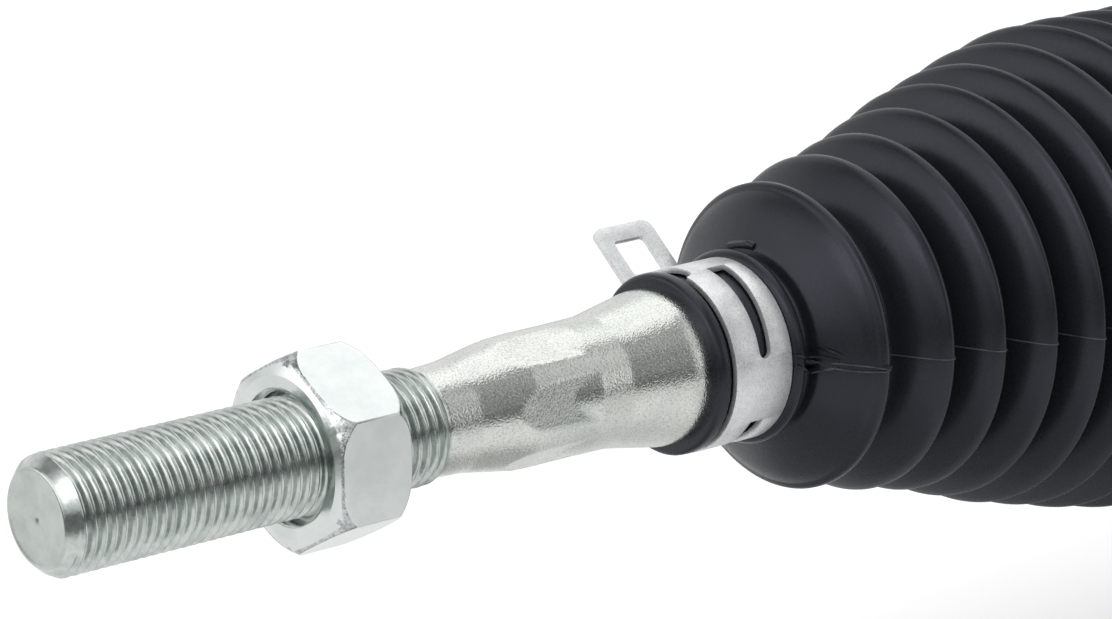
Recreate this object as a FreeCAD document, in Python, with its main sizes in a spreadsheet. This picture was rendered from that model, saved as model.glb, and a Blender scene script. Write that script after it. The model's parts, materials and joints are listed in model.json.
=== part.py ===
"""Rack-and-pinion steering gear with its tie rods, bellows and mounting bushes.

+X runs along the rack towards the pinion's end, +Y to the rear and +Z up. The origin is the centre of the
two mounting bolts, on the face that the steel sleeves rest on.
"""

import FreeCAD, Part
import Sketcher

import math
import os

from FreeCAD import Placement, Rotation, Vector

doc = FreeCAD.newDocument("steering_rack")
sheet = doc.addObject("Spreadsheet::Sheet", "dims")

DIMENSIONS = {
    # the whole gear
    "nose_span": 560.0,
    "rack_forward": 40.0,
    "rack_height": 30.0,
    "tower_lean": 20.0,
    "rack_travel": 65.0,
    "stop_gap": 2.0,
    "running_gap": 0.05,
    "soft_gap": 0.3,
    # rack and pinion teeth
    "tooth_module": 1.9,
    "pinion_teeth": 8,
    "profile_shift": 0.6,
    "pressure_angle": 20.0,
    "pinion_tip_radius": 9.9,
    "pinion_root_radius": 6.5,
    "rack_tooth_rise": 0.76,
    "tooth_root_gap": 0.35,
    "flank_play": 0.05,
    "rack_gaps": 27,
    "pinion_x": 130.0,
    "pinion_face": 28.0,
    # rack bar
    "rack_radius": 13.0,
    "rack_flat": 9.0,
    "rack_end_chamfer": 1.5,
    "joint_stud_radius": 7.0,
    "joint_stud_length": 18.0,
    "washer_thickness": 1.5,
    "washer_radius": 16.0,
    # housing tube and collars
    "tube_radius": 21.5,
    "tube_bore": 16.0,
    "nose_radius": 19.5,
    "nose_length": 28.0,
    "bead_radius": 28.2,
    "bead_width": 2.0,
    "seat_radius": 26.8,
    "seat_width": 13.0,
    "flange_radius": 30.0,
    "flange_width": 4.0,
    "collar_radius": 25.5,
    "collar_length": 14.0,
    "bush_radius": 17.0,
    "bush_length": 30.0,
    "bush_inset": 4.0,
    "bush_ring_width": 1.5,
    "bush_ring_radius": 18.0,
    "bush_ring_bore": 14.5,
    # gear case, tower and pinion bearings
    "case_radius": 26.5,
    "case_half_length": 40.0,
    "case_taper": 14.0,
    "rib_height": 2.9,
    "rib_root_width": 6.4,
    "rib_top_width": 3.4,
    "gusset_thickness": 5.0,
    "gusset_reach": 14.0,
    "tower_gusset_top": 33.0,
    "tower_gusset_foot": 19.0,
    "boss_gusset_end": 41.0,
    "boss_gusset_root": 20.0,
    "tower_radius": 24.5,
    "tower_top": 44.0,
    "tower_foot": -36.0,
    "tower_foot_radius": 16.0,
    "tower_step": -19.0,
    "tower_belly": -10.0,
    "cap_land_radius": 22.0,
    "cap_land_height": 7.0,
    "pinion_room": 12.0,
    "pinion_room_foot": -15.0,
    "collar_step_radius": 10.5,
    "shaft_radius": 8.5,
    "journal_radius": 6.0,
    "journal_foot": -29.0,
    "bearing_foot": 19.0,
    "bearing_width": 10.0,
    "bearing_radius": 17.5,
    "ball_radius": 3.0,
    "ball_count": 9,
    "cage_wall": 2.4,
    "cage_floor": 1.1,
    "cage_rise": 1.6,
    "clip_thickness": 1.2,
    "clip_radius": 10.2,
    "clip_groove_radius": 7.9,
    "ring_nut_radius": 18.5,
    "ring_nut_height": 11.0,
    "ring_nut_bore": 10.8,
    "ring_nut_sill": 3.0,
    "ring_nut_slots": 6,
    "ring_nut_slot_width": 5.0,
    "ring_nut_slot_depth": 3.0,
    "seal_radius": 13.5,
    "seal_height": 7.0,
    "shell_radius": 9.5,
    "shell_wall": 1.0,
    "shell_foot": -30.0,
    "shell_length": 14.0,
    "roller_radius": 1.25,
    "roller_count": 15,
    "foot_plug_radius": 12.0,
    "foot_plug_height": 5.0,
    "input_radius": 7.5,
    "input_foot": 54.0,
    "input_top": 86.0,
    "input_groove_height": 72.0,
    "input_groove_width": 7.0,
    "input_groove_radius": 6.3,
    "cap_wall": 1.6,
    "cap_height": 16.0,
    # support yoke
    "yoke_radius": 17.0,
    "yoke_front": 6.0,
    "yoke_back": 33.0,
    "yoke_play": 0.1,
    "liner_thickness": 0.7,
    "liner_half_angle": 50.0,
    "yoke_pocket_radius": 8.5,
    "yoke_pocket_depth": 12.0,
    "o_ring_thickness": 2.2,
    "o_ring_groove": 2.15,
    "o_ring_first": 19.0,
    "o_ring_pitch": 7.5,
    "boss_radius": 25.0,
    "boss_end": 46.0,
    "plug_radius": 19.0,
    "plug_end": 56.0,
    "plug_pocket": 3.0,
    "plug_socket_flats": 17.0,
    "plug_socket_depth": 10.0,
    "yoke_nut_flats": 46.0,
    "yoke_nut_height": 7.0,
    "spring_wire": 2.6,
    "spring_radius": 6.2,
    "spring_turns": 4.5,
    # mounting lugs and bushes
    "bolt_span": 380.0,
    "lug_radius": 23.5,
    "lug_foot": 5.0,
    "lug_height": 34.0,
    "lug_rim": 6.0,
    "lug_waist": 1.3,
    "rubber_radius": 18.0,
    "rubber_lip": 2.5,
    "rubber_lip_thickness": 2.0,
    "sleeve_radius": 9.5,
    "sleeve_length": 44.0,
    "bolt_hole_radius": 6.25,
    "web_thickness": 18.0,
    "web_root": 34.0,
    # inner ball joint, measured from the centre of its ball
    "joint_ball_radius": 13.0,
    "seat_thickness": 1.8,
    "joint_radius": 18.5,
    "joint_back": 24.0,
    "joint_lip": 10.5,
    "joint_lip_radius": 14.8,
    "joint_mouth_radius": 10.9,
    "joint_mouth_at": 7.5,
    "joint_mouth_slope": 0.54,
    "joint_flats": 33.0,
    "joint_flat_length": 11.0,
    # tie rod, measured from its tip
    "tip_to_ball": 176.0,
    "thread_radius": 8.0,
    "thread_end": 59.5,
    "thread_run_out": 0.2,
    "tip_chamfer": 2.0,
    "waist_radius": 7.35,
    "waist_at": 62.5,
    "grip_start": 73.0,
    "grip_radius": 9.1,
    "grip_end": 89.0,
    "grip_sides": 6,
    "grip_flats": 17.0,
    "grip_flat_start": 67.0,
    "grip_flat_end": 80.5,
    "grip_ramp_length": 6.0,
    "grip_ramp_rise": 1.2,
    "grip_turn": -8.0,
    "swell_end": 100.0,
    "swell_radius": 10.9,
    "boot_groove_start": 103.6,
    "boot_groove_radius": 10.0,
    "boot_groove_end": 117.0,
    "shank_radius": 8.2,
    "shank_start": 121.0,
    "shank_end": 142.0,
    "neck_radius": 6.5,
    "neck_start": 152.0,
    "lock_nut_flats": 24.0,
    "lock_nut_at": 38.3,
    "lock_nut_height": 12.0,
    "lock_nut_chamfer": 30.0,
    # bellows, measured from the tie rod's tip
    "lip_start": 102.6,
    "lip_radius": 12.7,
    "lip_end": 104.8,
    "neck_band_radius": 11.7,
    "neck_band_end": 116.6,
    "first_fold": 124.8,
    "first_fold_radius": 21.8,
    "full_fold": 181.1,
    "full_fold_radius": 36.2,
    "last_fold": 293.3,
    "rubber_wall": 1.4,
    "cuff_radius": 28.6,
    # band clamps
    "small_clamp_at": 105.3,
    "small_clamp_width": 10.3,
    "band_thickness": 0.8,
    "slot_width": 2.6,
    "upper_slot_turn": 6.0,
    "upper_slot_sweep": 73.0,
    "lower_slot_turn": 124.0,
    "lower_slot_sweep": 40.0,
    "tongue_step": 1.6,
    "tongue_turn": -12.0,
    "tongue_sweep": 23.0,
    "tab_turn": -50.0,
    "tab_height": 10.7,
    "tab_corner": 1.0,
    "tab_rim": 2.3,
    "large_clamp_width": 8.0,
    "ear_length": 12.0,
    "ear_height": 5.0,
}


class Size:
    """A size with its value and the expression that reads it from the sheet."""

    def __init__(self, value, text):
        self.value = float(value)
        self.text = text

    def join(self, other, sign, value):
        return Size(value, f"({self.text} {sign} {size(other).text})")

    def __add__(self, other):
        return self.join(other, "+", self.value + size(other).value)

    def __sub__(self, other):
        return self.join(other, "-", self.value - size(other).value)

    def __mul__(self, other):
        return self.join(other, "*", self.value * size(other).value)

    def __truediv__(self, other):
        return self.join(other, "/", self.value / size(other).value)

    def __radd__(self, other):
        return size(other) + self

    def __rsub__(self, other):
        return size(other) - self

    def __rmul__(self, other):
        return size(other) * self

    def __neg__(self):
        return size(-1) * self


def size(number):
    """A plain number as a Size, or the Size itself."""
    return number if isinstance(number, Size) else Size(number, f"({number:.9g})")


def function_of(name, angle):
    """The cosine, sine or tangent of an angle in degrees."""
    value = getattr(math, name)(math.radians(angle.value))
    return Size(value, f"{name}({angle.text} * 1 deg)")


class Dimensions:
    """The driving dimensions, read by name."""

    def __getattr__(self, name):
        return Size(DIMENSIONS[name], f"dims.{name}")


for row, (alias, number) in enumerate(DIMENSIONS.items(), start=1):
    sheet.set(f"A{row}", alias)
    sheet.set(f"B{row}", str(number))
    sheet.setAlias(f"B{row}", alias)
doc.recompute()

d = Dimensions()

LEFT, RIGHT = "left", "right"
SIDES = (LEFT, RIGHT)

# places that several pieces share
half_span = d.nose_span / 2
press_gap = size(0.02)
ball_x = half_span + d.rack_travel + d.stop_gap + d.joint_back
tip_x = ball_x + d.tip_to_ball
rack_end = ball_x - d.joint_back - d.washer_thickness
pitch_radius = d.tooth_module * d.pinion_teeth / 2
tooth_pitch = d.tooth_module * math.pi
pinion_offset = d.rack_flat - d.rack_tooth_rise + pitch_radius
rack_tooth_depth = d.rack_tooth_rise + d.pinion_tip_radius - pitch_radius + d.tooth_root_gap
bearing_top = d.bearing_foot + d.bearing_width
ring_nut_foot = bearing_top
yoke_saddle = d.rack_radius + d.running_gap + d.liner_thickness
seat_start = half_span - d.nose_length
tube_end = seat_start - d.bead_width - d.seat_width - d.flange_width - d.collar_length
cuff_start = tip_x - seat_start + d.bead_width
cuff_end = cuff_start + d.seat_width


def datum(body, role):
    """A plane or axis of the body's own origin."""
    return next(f for f in body.Origin.OriginFeatures if f.Role == role)


def bind(thing, path, number):
    """Set one property of a document object from a size."""
    thing.setExpression(path, size(number).text)


def place(thing, x=0, y=0, z=0, axis=Vector(0, 0, 1), angle=0, prefix="Placement"):
    """Give a place whose coordinates and angle follow the sheet."""
    point = Vector(size(x).value, size(y).value, size(z).value)
    setattr(thing, prefix, Placement(point, Rotation(axis, size(angle).value)))
    for letter, number in zip("xyz", (x, y, z)):
        if isinstance(number, Size):
            bind(thing, f"{prefix}.Base.{letter}", number)
    if isinstance(angle, Size):
        bind(thing, f"{prefix}.Rotation.Angle", angle)


def new_body(label):
    """An empty body, labelled with the sub-part's name."""
    body = doc.addObject("PartDesign::Body", label)
    body.Label = label
    return body


def new_sketch(body, name, plane, x=0, y=0, z=0, axis=Vector(1, 0, 0), angle=0):
    """A sketch on one of the body's own planes, moved within that plane's own axes."""
    sketch = body.newObject("Sketcher::SketchObject", f"{body.Name}_{name}")
    sketch.AttachmentSupport = [(datum(body, plane), "")]
    sketch.MapMode = "FlatFace"
    place(sketch, x, y, z, axis, angle, "AttachmentOffset")
    return sketch


def pin_point(sketch, edge, end, point):
    """Hold one end of an edge at its two coordinates."""
    for kind, axis_line, number in (("DistanceX", -2, point[0]), ("DistanceY", -1, point[1])):
        if abs(size(number).value) < 1e-9:
            sketch.addConstraint(Sketcher.Constraint("PointOnObject", edge, end, axis_line))
            continue
        index = sketch.addConstraint(
            Sketcher.Constraint(kind, -1, 1, edge, end, size(number).value)
        )
        if isinstance(number, Size):
            sketch.setExpression(f"Constraints[{index}]", number.text)


def outline(sketch, points):
    """A closed outline of straight edges through the points, beside any that are already there."""
    places = [Vector(size(x).value, size(y).value, 0) for x, y in points]
    first = sketch.GeometryCount
    count = len(points)
    for k in range(count):
        sketch.addGeometry(Part.LineSegment(places[k], places[(k + 1) % count]), False)
    for k in range(count):
        following = first + (k + 1) % count
        sketch.addConstraint(Sketcher.Constraint("Coincident", first + k, 2, following, 1))
        pin_point(sketch, first + k, 1, points[k])


def circle(sketch, radius, x=0, y=0):
    """A circle whose centre and radius follow the sheet."""
    centre = Vector(size(x).value, size(y).value, 0)
    edge = sketch.addGeometry(Part.Circle(centre, Vector(0, 0, 1), size(radius).value), False)
    index = sketch.addConstraint(Sketcher.Constraint("Radius", edge, size(radius).value))
    if isinstance(radius, Size):
        sketch.setExpression(f"Constraints[{index}]", radius.text)
    pin_point(sketch, edge, 3, (x, y))


def feature(body, kind, name, profile, **settings):
    """A PartDesign feature that reads a profile."""
    made = body.newObject(f"PartDesign::{kind}", f"{body.Name}_{name}")
    made.Profile = profile
    for key, value in settings.items():
        if isinstance(value, Size):
            bind(made, key, value)
        else:
            setattr(made, key, value)
    return made


def turned(body, name, points, axis="H_Axis", cut=False, plane="XZ_Plane", sweep=360.0, **where):
    """A profile turned about one axis of its sketch, added to the body or cut from it."""
    sketch = new_sketch(body, f"{name}_profile", plane, **where)
    outline(sketch, points)
    kind = "Groove" if cut else "Revolution"
    return feature(body, kind, name, sketch, ReferenceAxis=(sketch, [axis]), Angle=sweep)


def lathe(label, points, axis="H_Axis"):
    """A body made of one turned profile."""
    body = new_body(label)
    turned(body, "turned", points, axis)
    return body


def ring_points(start, end, inner, outer):
    """The profile of a plain ring."""
    return [(start, inner), (end, inner), (end, outer), (start, outer)]


def on_rack_line(body, side=None, lean=False):
    """Put a body on the rack's axis: from a tie rod's tip inwards, or at the gear's middle."""
    if side is None:
        x = 0
    else:
        x = -tip_x if side == LEFT else tip_x
    if lean:
        place(body, x, -d.rack_forward, d.rack_height, Vector(-1, 0, 0), d.tower_lean)
    else:
        turn = 180 if side == RIGHT else 0
        place(body, x, -d.rack_forward, d.rack_height, Vector(0, 0, 1), turn)


def on_pinion_line(body):
    """Put a body on the pinion's axis, with its own +Z along the shaft."""
    y = pinion_offset * function_of("cos", d.tower_lean) - d.rack_forward
    z = d.rack_height - pinion_offset * function_of("sin", d.tower_lean)
    place(body, d.pinion_x, y, z, Vector(-1, 0, 0), d.tower_lean)


def on_yoke_line(body):
    """Put a body on the yoke's axis: its own -Y runs from the rack out through the plug."""
    place(body, d.pinion_x, -d.rack_forward, d.rack_height, Vector(-1, 0, 0), d.tower_lean)


def housing_half(sign):
    """The outline of one end of the housing, from its nose to its tube."""
    nose = half_span
    seat = seat_start - d.bead_width
    flange = seat - d.seat_width
    collar = flange - d.flange_width
    tube = tube_end
    steps = [
        (nose, 0),
        (nose, d.nose_radius - 1.0),
        (nose - 1.0, d.nose_radius),
        (seat_start, d.nose_radius),
        (seat_start, d.bead_radius - 0.8),
        (seat_start - 0.8, d.bead_radius),
        (seat, d.bead_radius),
        (seat, d.seat_radius),
        (flange, d.seat_radius),
        (flange, d.flange_radius),
        (collar, d.flange_radius),
        (collar, d.collar_radius),
        (tube, d.collar_radius),
        (tube - 8.0, d.tube_radius),
    ]
    return [(sign * x, r) for x, r in steps]


def make_housing():
    """The die-cast housing: tube, end collars, gear case, tower, yoke boss and two lugs."""
    body = new_body("rack_housing")
    on_rack_line(body, lean=True)
    turned(body, "tube", housing_half(-1) + housing_half(1)[::-1])
    case = [
        (-d.case_half_length - d.case_taper, d.tube_radius - 1.0),
        (-d.case_half_length, d.case_radius),
        (d.case_half_length, d.case_radius),
        (d.case_half_length + d.case_taper, d.tube_radius - 1.0),
    ]
    axis_points = [(case[-1][0], 0), (case[0][0], 0)]
    turned(body, "case", case + axis_points, x=d.pinion_x)
    tower_where = {"x": d.pinion_x, "z": -pinion_offset}
    foot = d.tower_foot
    tower = [
        (0, foot),
        (d.tower_foot_radius - 1.5, foot),
        (d.tower_foot_radius, foot + 1.5),
        (d.tower_foot_radius, d.tower_step),
        (d.tower_radius, d.tower_belly),
        (d.tower_radius, d.tower_top - d.cap_land_height - 1.5),
        (d.tower_radius - 1.5, d.tower_top - d.cap_land_height),
        (d.cap_land_radius, d.tower_top - d.cap_land_height),
        (d.cap_land_radius, d.tower_top - 1.0),
        (d.cap_land_radius - 1.0, d.tower_top),
        (0, d.tower_top),
    ]
    turned(body, "tower", tower, "V_Axis", **tower_where)
    boss = [
        (0, 0),
        (d.boss_radius, 0),
        (d.boss_radius, -d.boss_end + 2.0),
        (d.boss_radius - 2.0, -d.boss_end),
        (0, -d.boss_end),
    ]
    turned(body, "yoke_boss", boss, "V_Axis", plane="XY_Plane", x=d.pinion_x)
    add_ribs(body)
    add_gussets(body, tower_where)
    for side, sign in ((LEFT, -1), (RIGHT, 1)):
        add_lug(body, side, sign)
    cut_housing(body, tower_where)
    return body


def lug_place(sign, height):
    """A place over a mounting bolt, in the leaning frame of the housing."""
    across = d.rack_forward
    up = height - d.rack_height
    cosine = function_of("cos", d.tower_lean)
    sine = function_of("sin", d.tower_lean)
    return {
        "x": sign * d.bolt_span / 2,
        "y": across * cosine - up * sine,
        "z": across * sine + up * cosine,
        "axis": Vector(1, 0, 0),
        "angle": d.tower_lean,
    }


def add_ribs(body):
    """The four drafted ribs along the tube, from collar to gear case on both sides of it."""
    root = d.rib_root_width / 2
    top = d.rib_top_width / 2
    foot = d.tube_radius - d.rib_height
    crest = d.tube_radius + d.rib_height
    section = [(-root, foot), (-top, crest), (top, crest), (root, foot)]
    case_start = d.pinion_x - d.case_half_length
    case_end = d.pinion_x + d.case_half_length
    for name, start, end in (("left", -tube_end, case_start), ("right", case_end, tube_end)):
        sketch = new_sketch(body, f"ribs_{name}", "YZ_Plane", z=start)
        outline(sketch, section)
        outline(sketch, [(-y, -z) for y, z in section])
        outline(sketch, [(z, -y) for y, z in section])
        outline(sketch, [(-z, y) for y, z in section])
        feature(body, "Pad", f"ribs_{name}_pad", sketch, Length=end - start)


def add_gussets(body, tower_where):
    """The webs that brace the tower and the yoke boss on the gear case."""
    near = d.tower_radius - 2.0
    far = d.tower_radius + d.gusset_reach
    triangle = [
        (near, d.tower_gusset_top),
        (far, d.tower_gusset_foot),
        (near, d.tower_gusset_foot - 5.0),
    ]
    tower = new_sketch(body, "tower_gussets", "XZ_Plane", **tower_where)
    outline(tower, triangle)
    outline(tower, [(-x, z) for x, z in triangle])
    feature(body, "Pad", "tower_gussets_pad", tower, Length=d.gusset_thickness, Midplane=True)
    near = d.boss_radius - 2.0
    far = d.boss_radius + d.gusset_reach
    triangle = [
        (near, -d.boss_gusset_end),
        (far, -d.boss_gusset_root),
        (near, -d.boss_gusset_root),
    ]
    boss = new_sketch(body, "boss_gussets", "XY_Plane", x=d.pinion_x)
    outline(boss, triangle)
    outline(boss, [(-x, y) for x, y in triangle])
    feature(body, "Pad", "boss_gussets_pad", boss, Length=d.gusset_thickness, Midplane=True)


def add_lug(body, side, sign):
    """One upright lug, waisted between two rims, and the web that joins it to the tube."""
    height = d.lug_height
    waist = d.lug_radius - d.lug_waist
    eye = [
        (0, 0),
        (d.lug_radius - 1.0, 0),
        (d.lug_radius, 1.0),
        (d.lug_radius, d.lug_rim),
        (waist, d.lug_rim + 2.0),
        (waist, height - d.lug_rim - 2.0),
        (d.lug_radius, height - d.lug_rim),
        (d.lug_radius, height - 1.0),
        (d.lug_radius - 1.0, height),
        (0, height),
    ]
    where = lug_place(sign, d.lug_foot)
    where["y"], where["z"] = where["z"], -where["y"]
    sketch = new_sketch(body, f"lug_{side}_profile", "XZ_Plane", **where)
    outline(sketch, eye)
    upright = (sketch, ["V_Axis"])
    feature(body, "Revolution", f"lug_{side}", sketch, ReferenceAxis=upright, Angle=360.0)
    level = d.rack_height - d.web_thickness / 2
    web = new_sketch(body, f"web_{side}", "XY_Plane", **lug_place(sign, level))
    near = d.lug_radius - 3.0
    outline(
        web,
        [(-near, 0), (near, 0), (d.web_root, -d.rack_forward), (-d.web_root, -d.rack_forward)],
    )
    feature(body, "Pad", f"web_{side}_pad", web, Length=d.web_thickness)


def cut_housing(body, tower_where):
    """Bore the housing for the rack, its bush, the pinion, the yoke and the mounting bushes."""
    far = half_span + 1.0
    bush_start = half_span - d.bush_inset
    bush_end = bush_start - d.bush_length
    ring = d.bush_ring_width
    bore = [
        (-far, 0),
        (-far, d.bush_radius),
        (-bush_start - ring, d.bush_radius),
        (-bush_start - ring, d.bush_ring_radius),
        (-bush_start, d.bush_ring_radius),
        (-bush_start, d.bush_radius),
        (-bush_end, d.bush_radius),
        (-bush_end, d.tube_bore),
        (far, d.tube_bore),
        (far, 0),
    ]
    turned(body, "rack_bore", bore, cut=True)
    pinion = [
        (0, d.tower_foot - 1.0),
        (d.foot_plug_radius, d.tower_foot - 1.0),
        (d.foot_plug_radius, d.tower_foot + d.foot_plug_height),
        (d.shell_radius, d.tower_foot + d.foot_plug_height),
        (d.shell_radius, d.pinion_room_foot),
        (d.pinion_room, d.pinion_room_foot),
        (d.pinion_room, d.bearing_foot),
        (d.bearing_radius, d.bearing_foot),
        (d.bearing_radius, ring_nut_foot),
        (d.ring_nut_radius, ring_nut_foot),
        (d.ring_nut_radius, d.tower_top + 1.0),
        (0, d.tower_top + 1.0),
    ]
    turned(body, "pinion_bore", pinion, "V_Axis", cut=True, **tower_where)
    plug_start = d.yoke_back
    yoke = [
        (0, 0),
        (d.yoke_radius + d.running_gap, 0),
        (d.yoke_radius + d.running_gap, -plug_start),
        (d.plug_radius, -plug_start),
        (d.plug_radius, -d.boss_end - 1.0),
        (0, -d.boss_end - 1.0),
    ]
    turned(body, "yoke_bore", yoke, "V_Axis", cut=True, plane="XY_Plane", x=d.pinion_x)
    for side, sign in ((LEFT, -1), (RIGHT, 1)):
        hole = new_sketch(body, f"bush_hole_{side}", "XY_Plane", **lug_place(sign, d.lug_foot))
        circle(hole, d.rubber_radius)
        feature(
            body,
            "Pocket",
            f"bush_hole_{side}_cut",
            hole,
            Length=d.lug_height,
            Reversed=True,
        )


def make_housing_pieces():
    """The plastic rack bush and its retaining ring, in the housing's plain end."""
    start = half_span - d.bush_inset
    bore = d.rack_radius + d.running_gap
    points = [
        (-start, bore + 0.8),
        (-start + 1.5, bore),
        (-start + d.bush_length - 1.5, bore),
        (-start + d.bush_length, bore + 0.8),
        (-start + d.bush_length, d.bush_radius - press_gap),
        (-start, d.bush_radius - press_gap),
    ]
    on_rack_line(lathe("rack_bush", points))
    outer = d.bush_ring_radius - 0.1
    ring = ring_points(-start - d.bush_ring_width, -start, d.bush_ring_bore, outer)
    on_rack_line(lathe("bush_retaining_ring", ring))


def make_pinion():
    """The pinion shaft: eight involute teeth between two journals, and the input stub."""
    value = {name: number for name, number in DIMENSIONS.items()}
    half_face = value["pinion_face"] / 2
    steps = [
        (0, value["journal_foot"]),
        (value["journal_radius"] - 0.6, value["journal_foot"]),
        (value["journal_radius"], value["journal_foot"] + 0.6),
        (value["journal_radius"], -half_face),
        (value["pinion_root_radius"], -half_face),
        (value["pinion_root_radius"], half_face),
        (value["collar_step_radius"], half_face),
        (value["collar_step_radius"], value["bearing_foot"]),
        (value["shaft_radius"], value["bearing_foot"]),
        (value["shaft_radius"], bearing_top.value),
        (value["clip_groove_radius"], bearing_top.value),
        (value["clip_groove_radius"], bearing_top.value + value["clip_thickness"]),
        (value["shaft_radius"], bearing_top.value + value["clip_thickness"]),
        (value["shaft_radius"], value["input_foot"] - 2.0),
        (value["input_radius"], value["input_foot"]),
    ]
    middle = value["input_groove_height"]
    half_groove = value["input_groove_width"] / 2
    steps += [
        (value["input_radius"], middle - half_groove - 1.2),
        (value["input_groove_radius"], middle - half_groove),
        (value["input_groove_radius"], middle + half_groove),
        (value["input_radius"], middle + half_groove + 1.2),
        (value["input_radius"], value["input_top"] - 1.0),
        (value["input_radius"] - 1.0, value["input_top"]),
        (0, value["input_top"]),
    ]
    wire = Part.makePolygon([Vector(r, 0, u) for r, u in steps + steps[:1]])
    shaft = Part.Face(wire).revolve(Vector(0, 0, 0), Vector(0, 0, 1), 360)
    teeth = pinion_section(value).extrude(Vector(0, 0, 2 * half_face))
    teeth.translate(Vector(0, 0, -half_face))
    solid = shaft.fuse(teeth).removeSplitter()
    body = doc.addObject("Part::Feature", "pinion_shaft")
    body.Label = "pinion_shaft"
    body.Shape = solid.Solids[0]
    on_pinion_line(body)
    return body


def pinion_section(value):
    """The face of the toothed stretch, with one tooth pointing at the rack (-Y)."""
    count = int(value["pinion_teeth"])
    pressure = math.radians(value["pressure_angle"])
    pitch = pitch_radius.value
    base = pitch * math.cos(pressure)
    tip = value["pinion_tip_radius"]
    root = value["pinion_root_radius"] - 0.4
    half_tooth = (math.pi / 2 + 2 * value["profile_shift"] * math.tan(pressure)) / count
    half_tooth -= value["flank_play"] / pitch
    rise = math.tan(pressure) - pressure

    def flank_angle(radius):
        turn = math.acos(min(1.0, base / radius))
        return half_tooth + rise - (math.tan(turn) - turn)

    def at(radius, angle):
        return Vector(radius * math.cos(angle), radius * math.sin(angle), 0)

    radii = [base + (tip - base) * (k / 6) ** 2 for k in range(7)]
    edges = []
    for k in range(count):
        middle = -math.pi / 2 + 2 * math.pi * k / count
        rising = [at(r, middle - flank_angle(r)) for r in radii]
        falling = [at(r, middle + flank_angle(r)) for r in radii[::-1]]
        foot_in = at(root, middle - flank_angle(base))
        foot_out = at(root, middle + flank_angle(base))
        next_foot = at(root, middle + 2 * math.pi / count - flank_angle(base))
        gap_middle = at(root, middle + math.pi / count)
        edges.append(Part.LineSegment(foot_in, rising[0]).toShape())
        edges.append(smooth_curve(rising))
        edges.append(Part.Arc(rising[-1], at(tip, middle), falling[0]).toShape())
        edges.append(smooth_curve(falling))
        edges.append(Part.LineSegment(falling[-1], foot_out).toShape())
        edges.append(Part.Arc(foot_out, gap_middle, next_foot).toShape())
    return Part.Face(Part.Wire(edges))


def smooth_curve(points):
    """One smooth edge through the points."""
    curve = Part.BSplineCurve()
    curve.interpolate(points)
    return curve.toShape()


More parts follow.
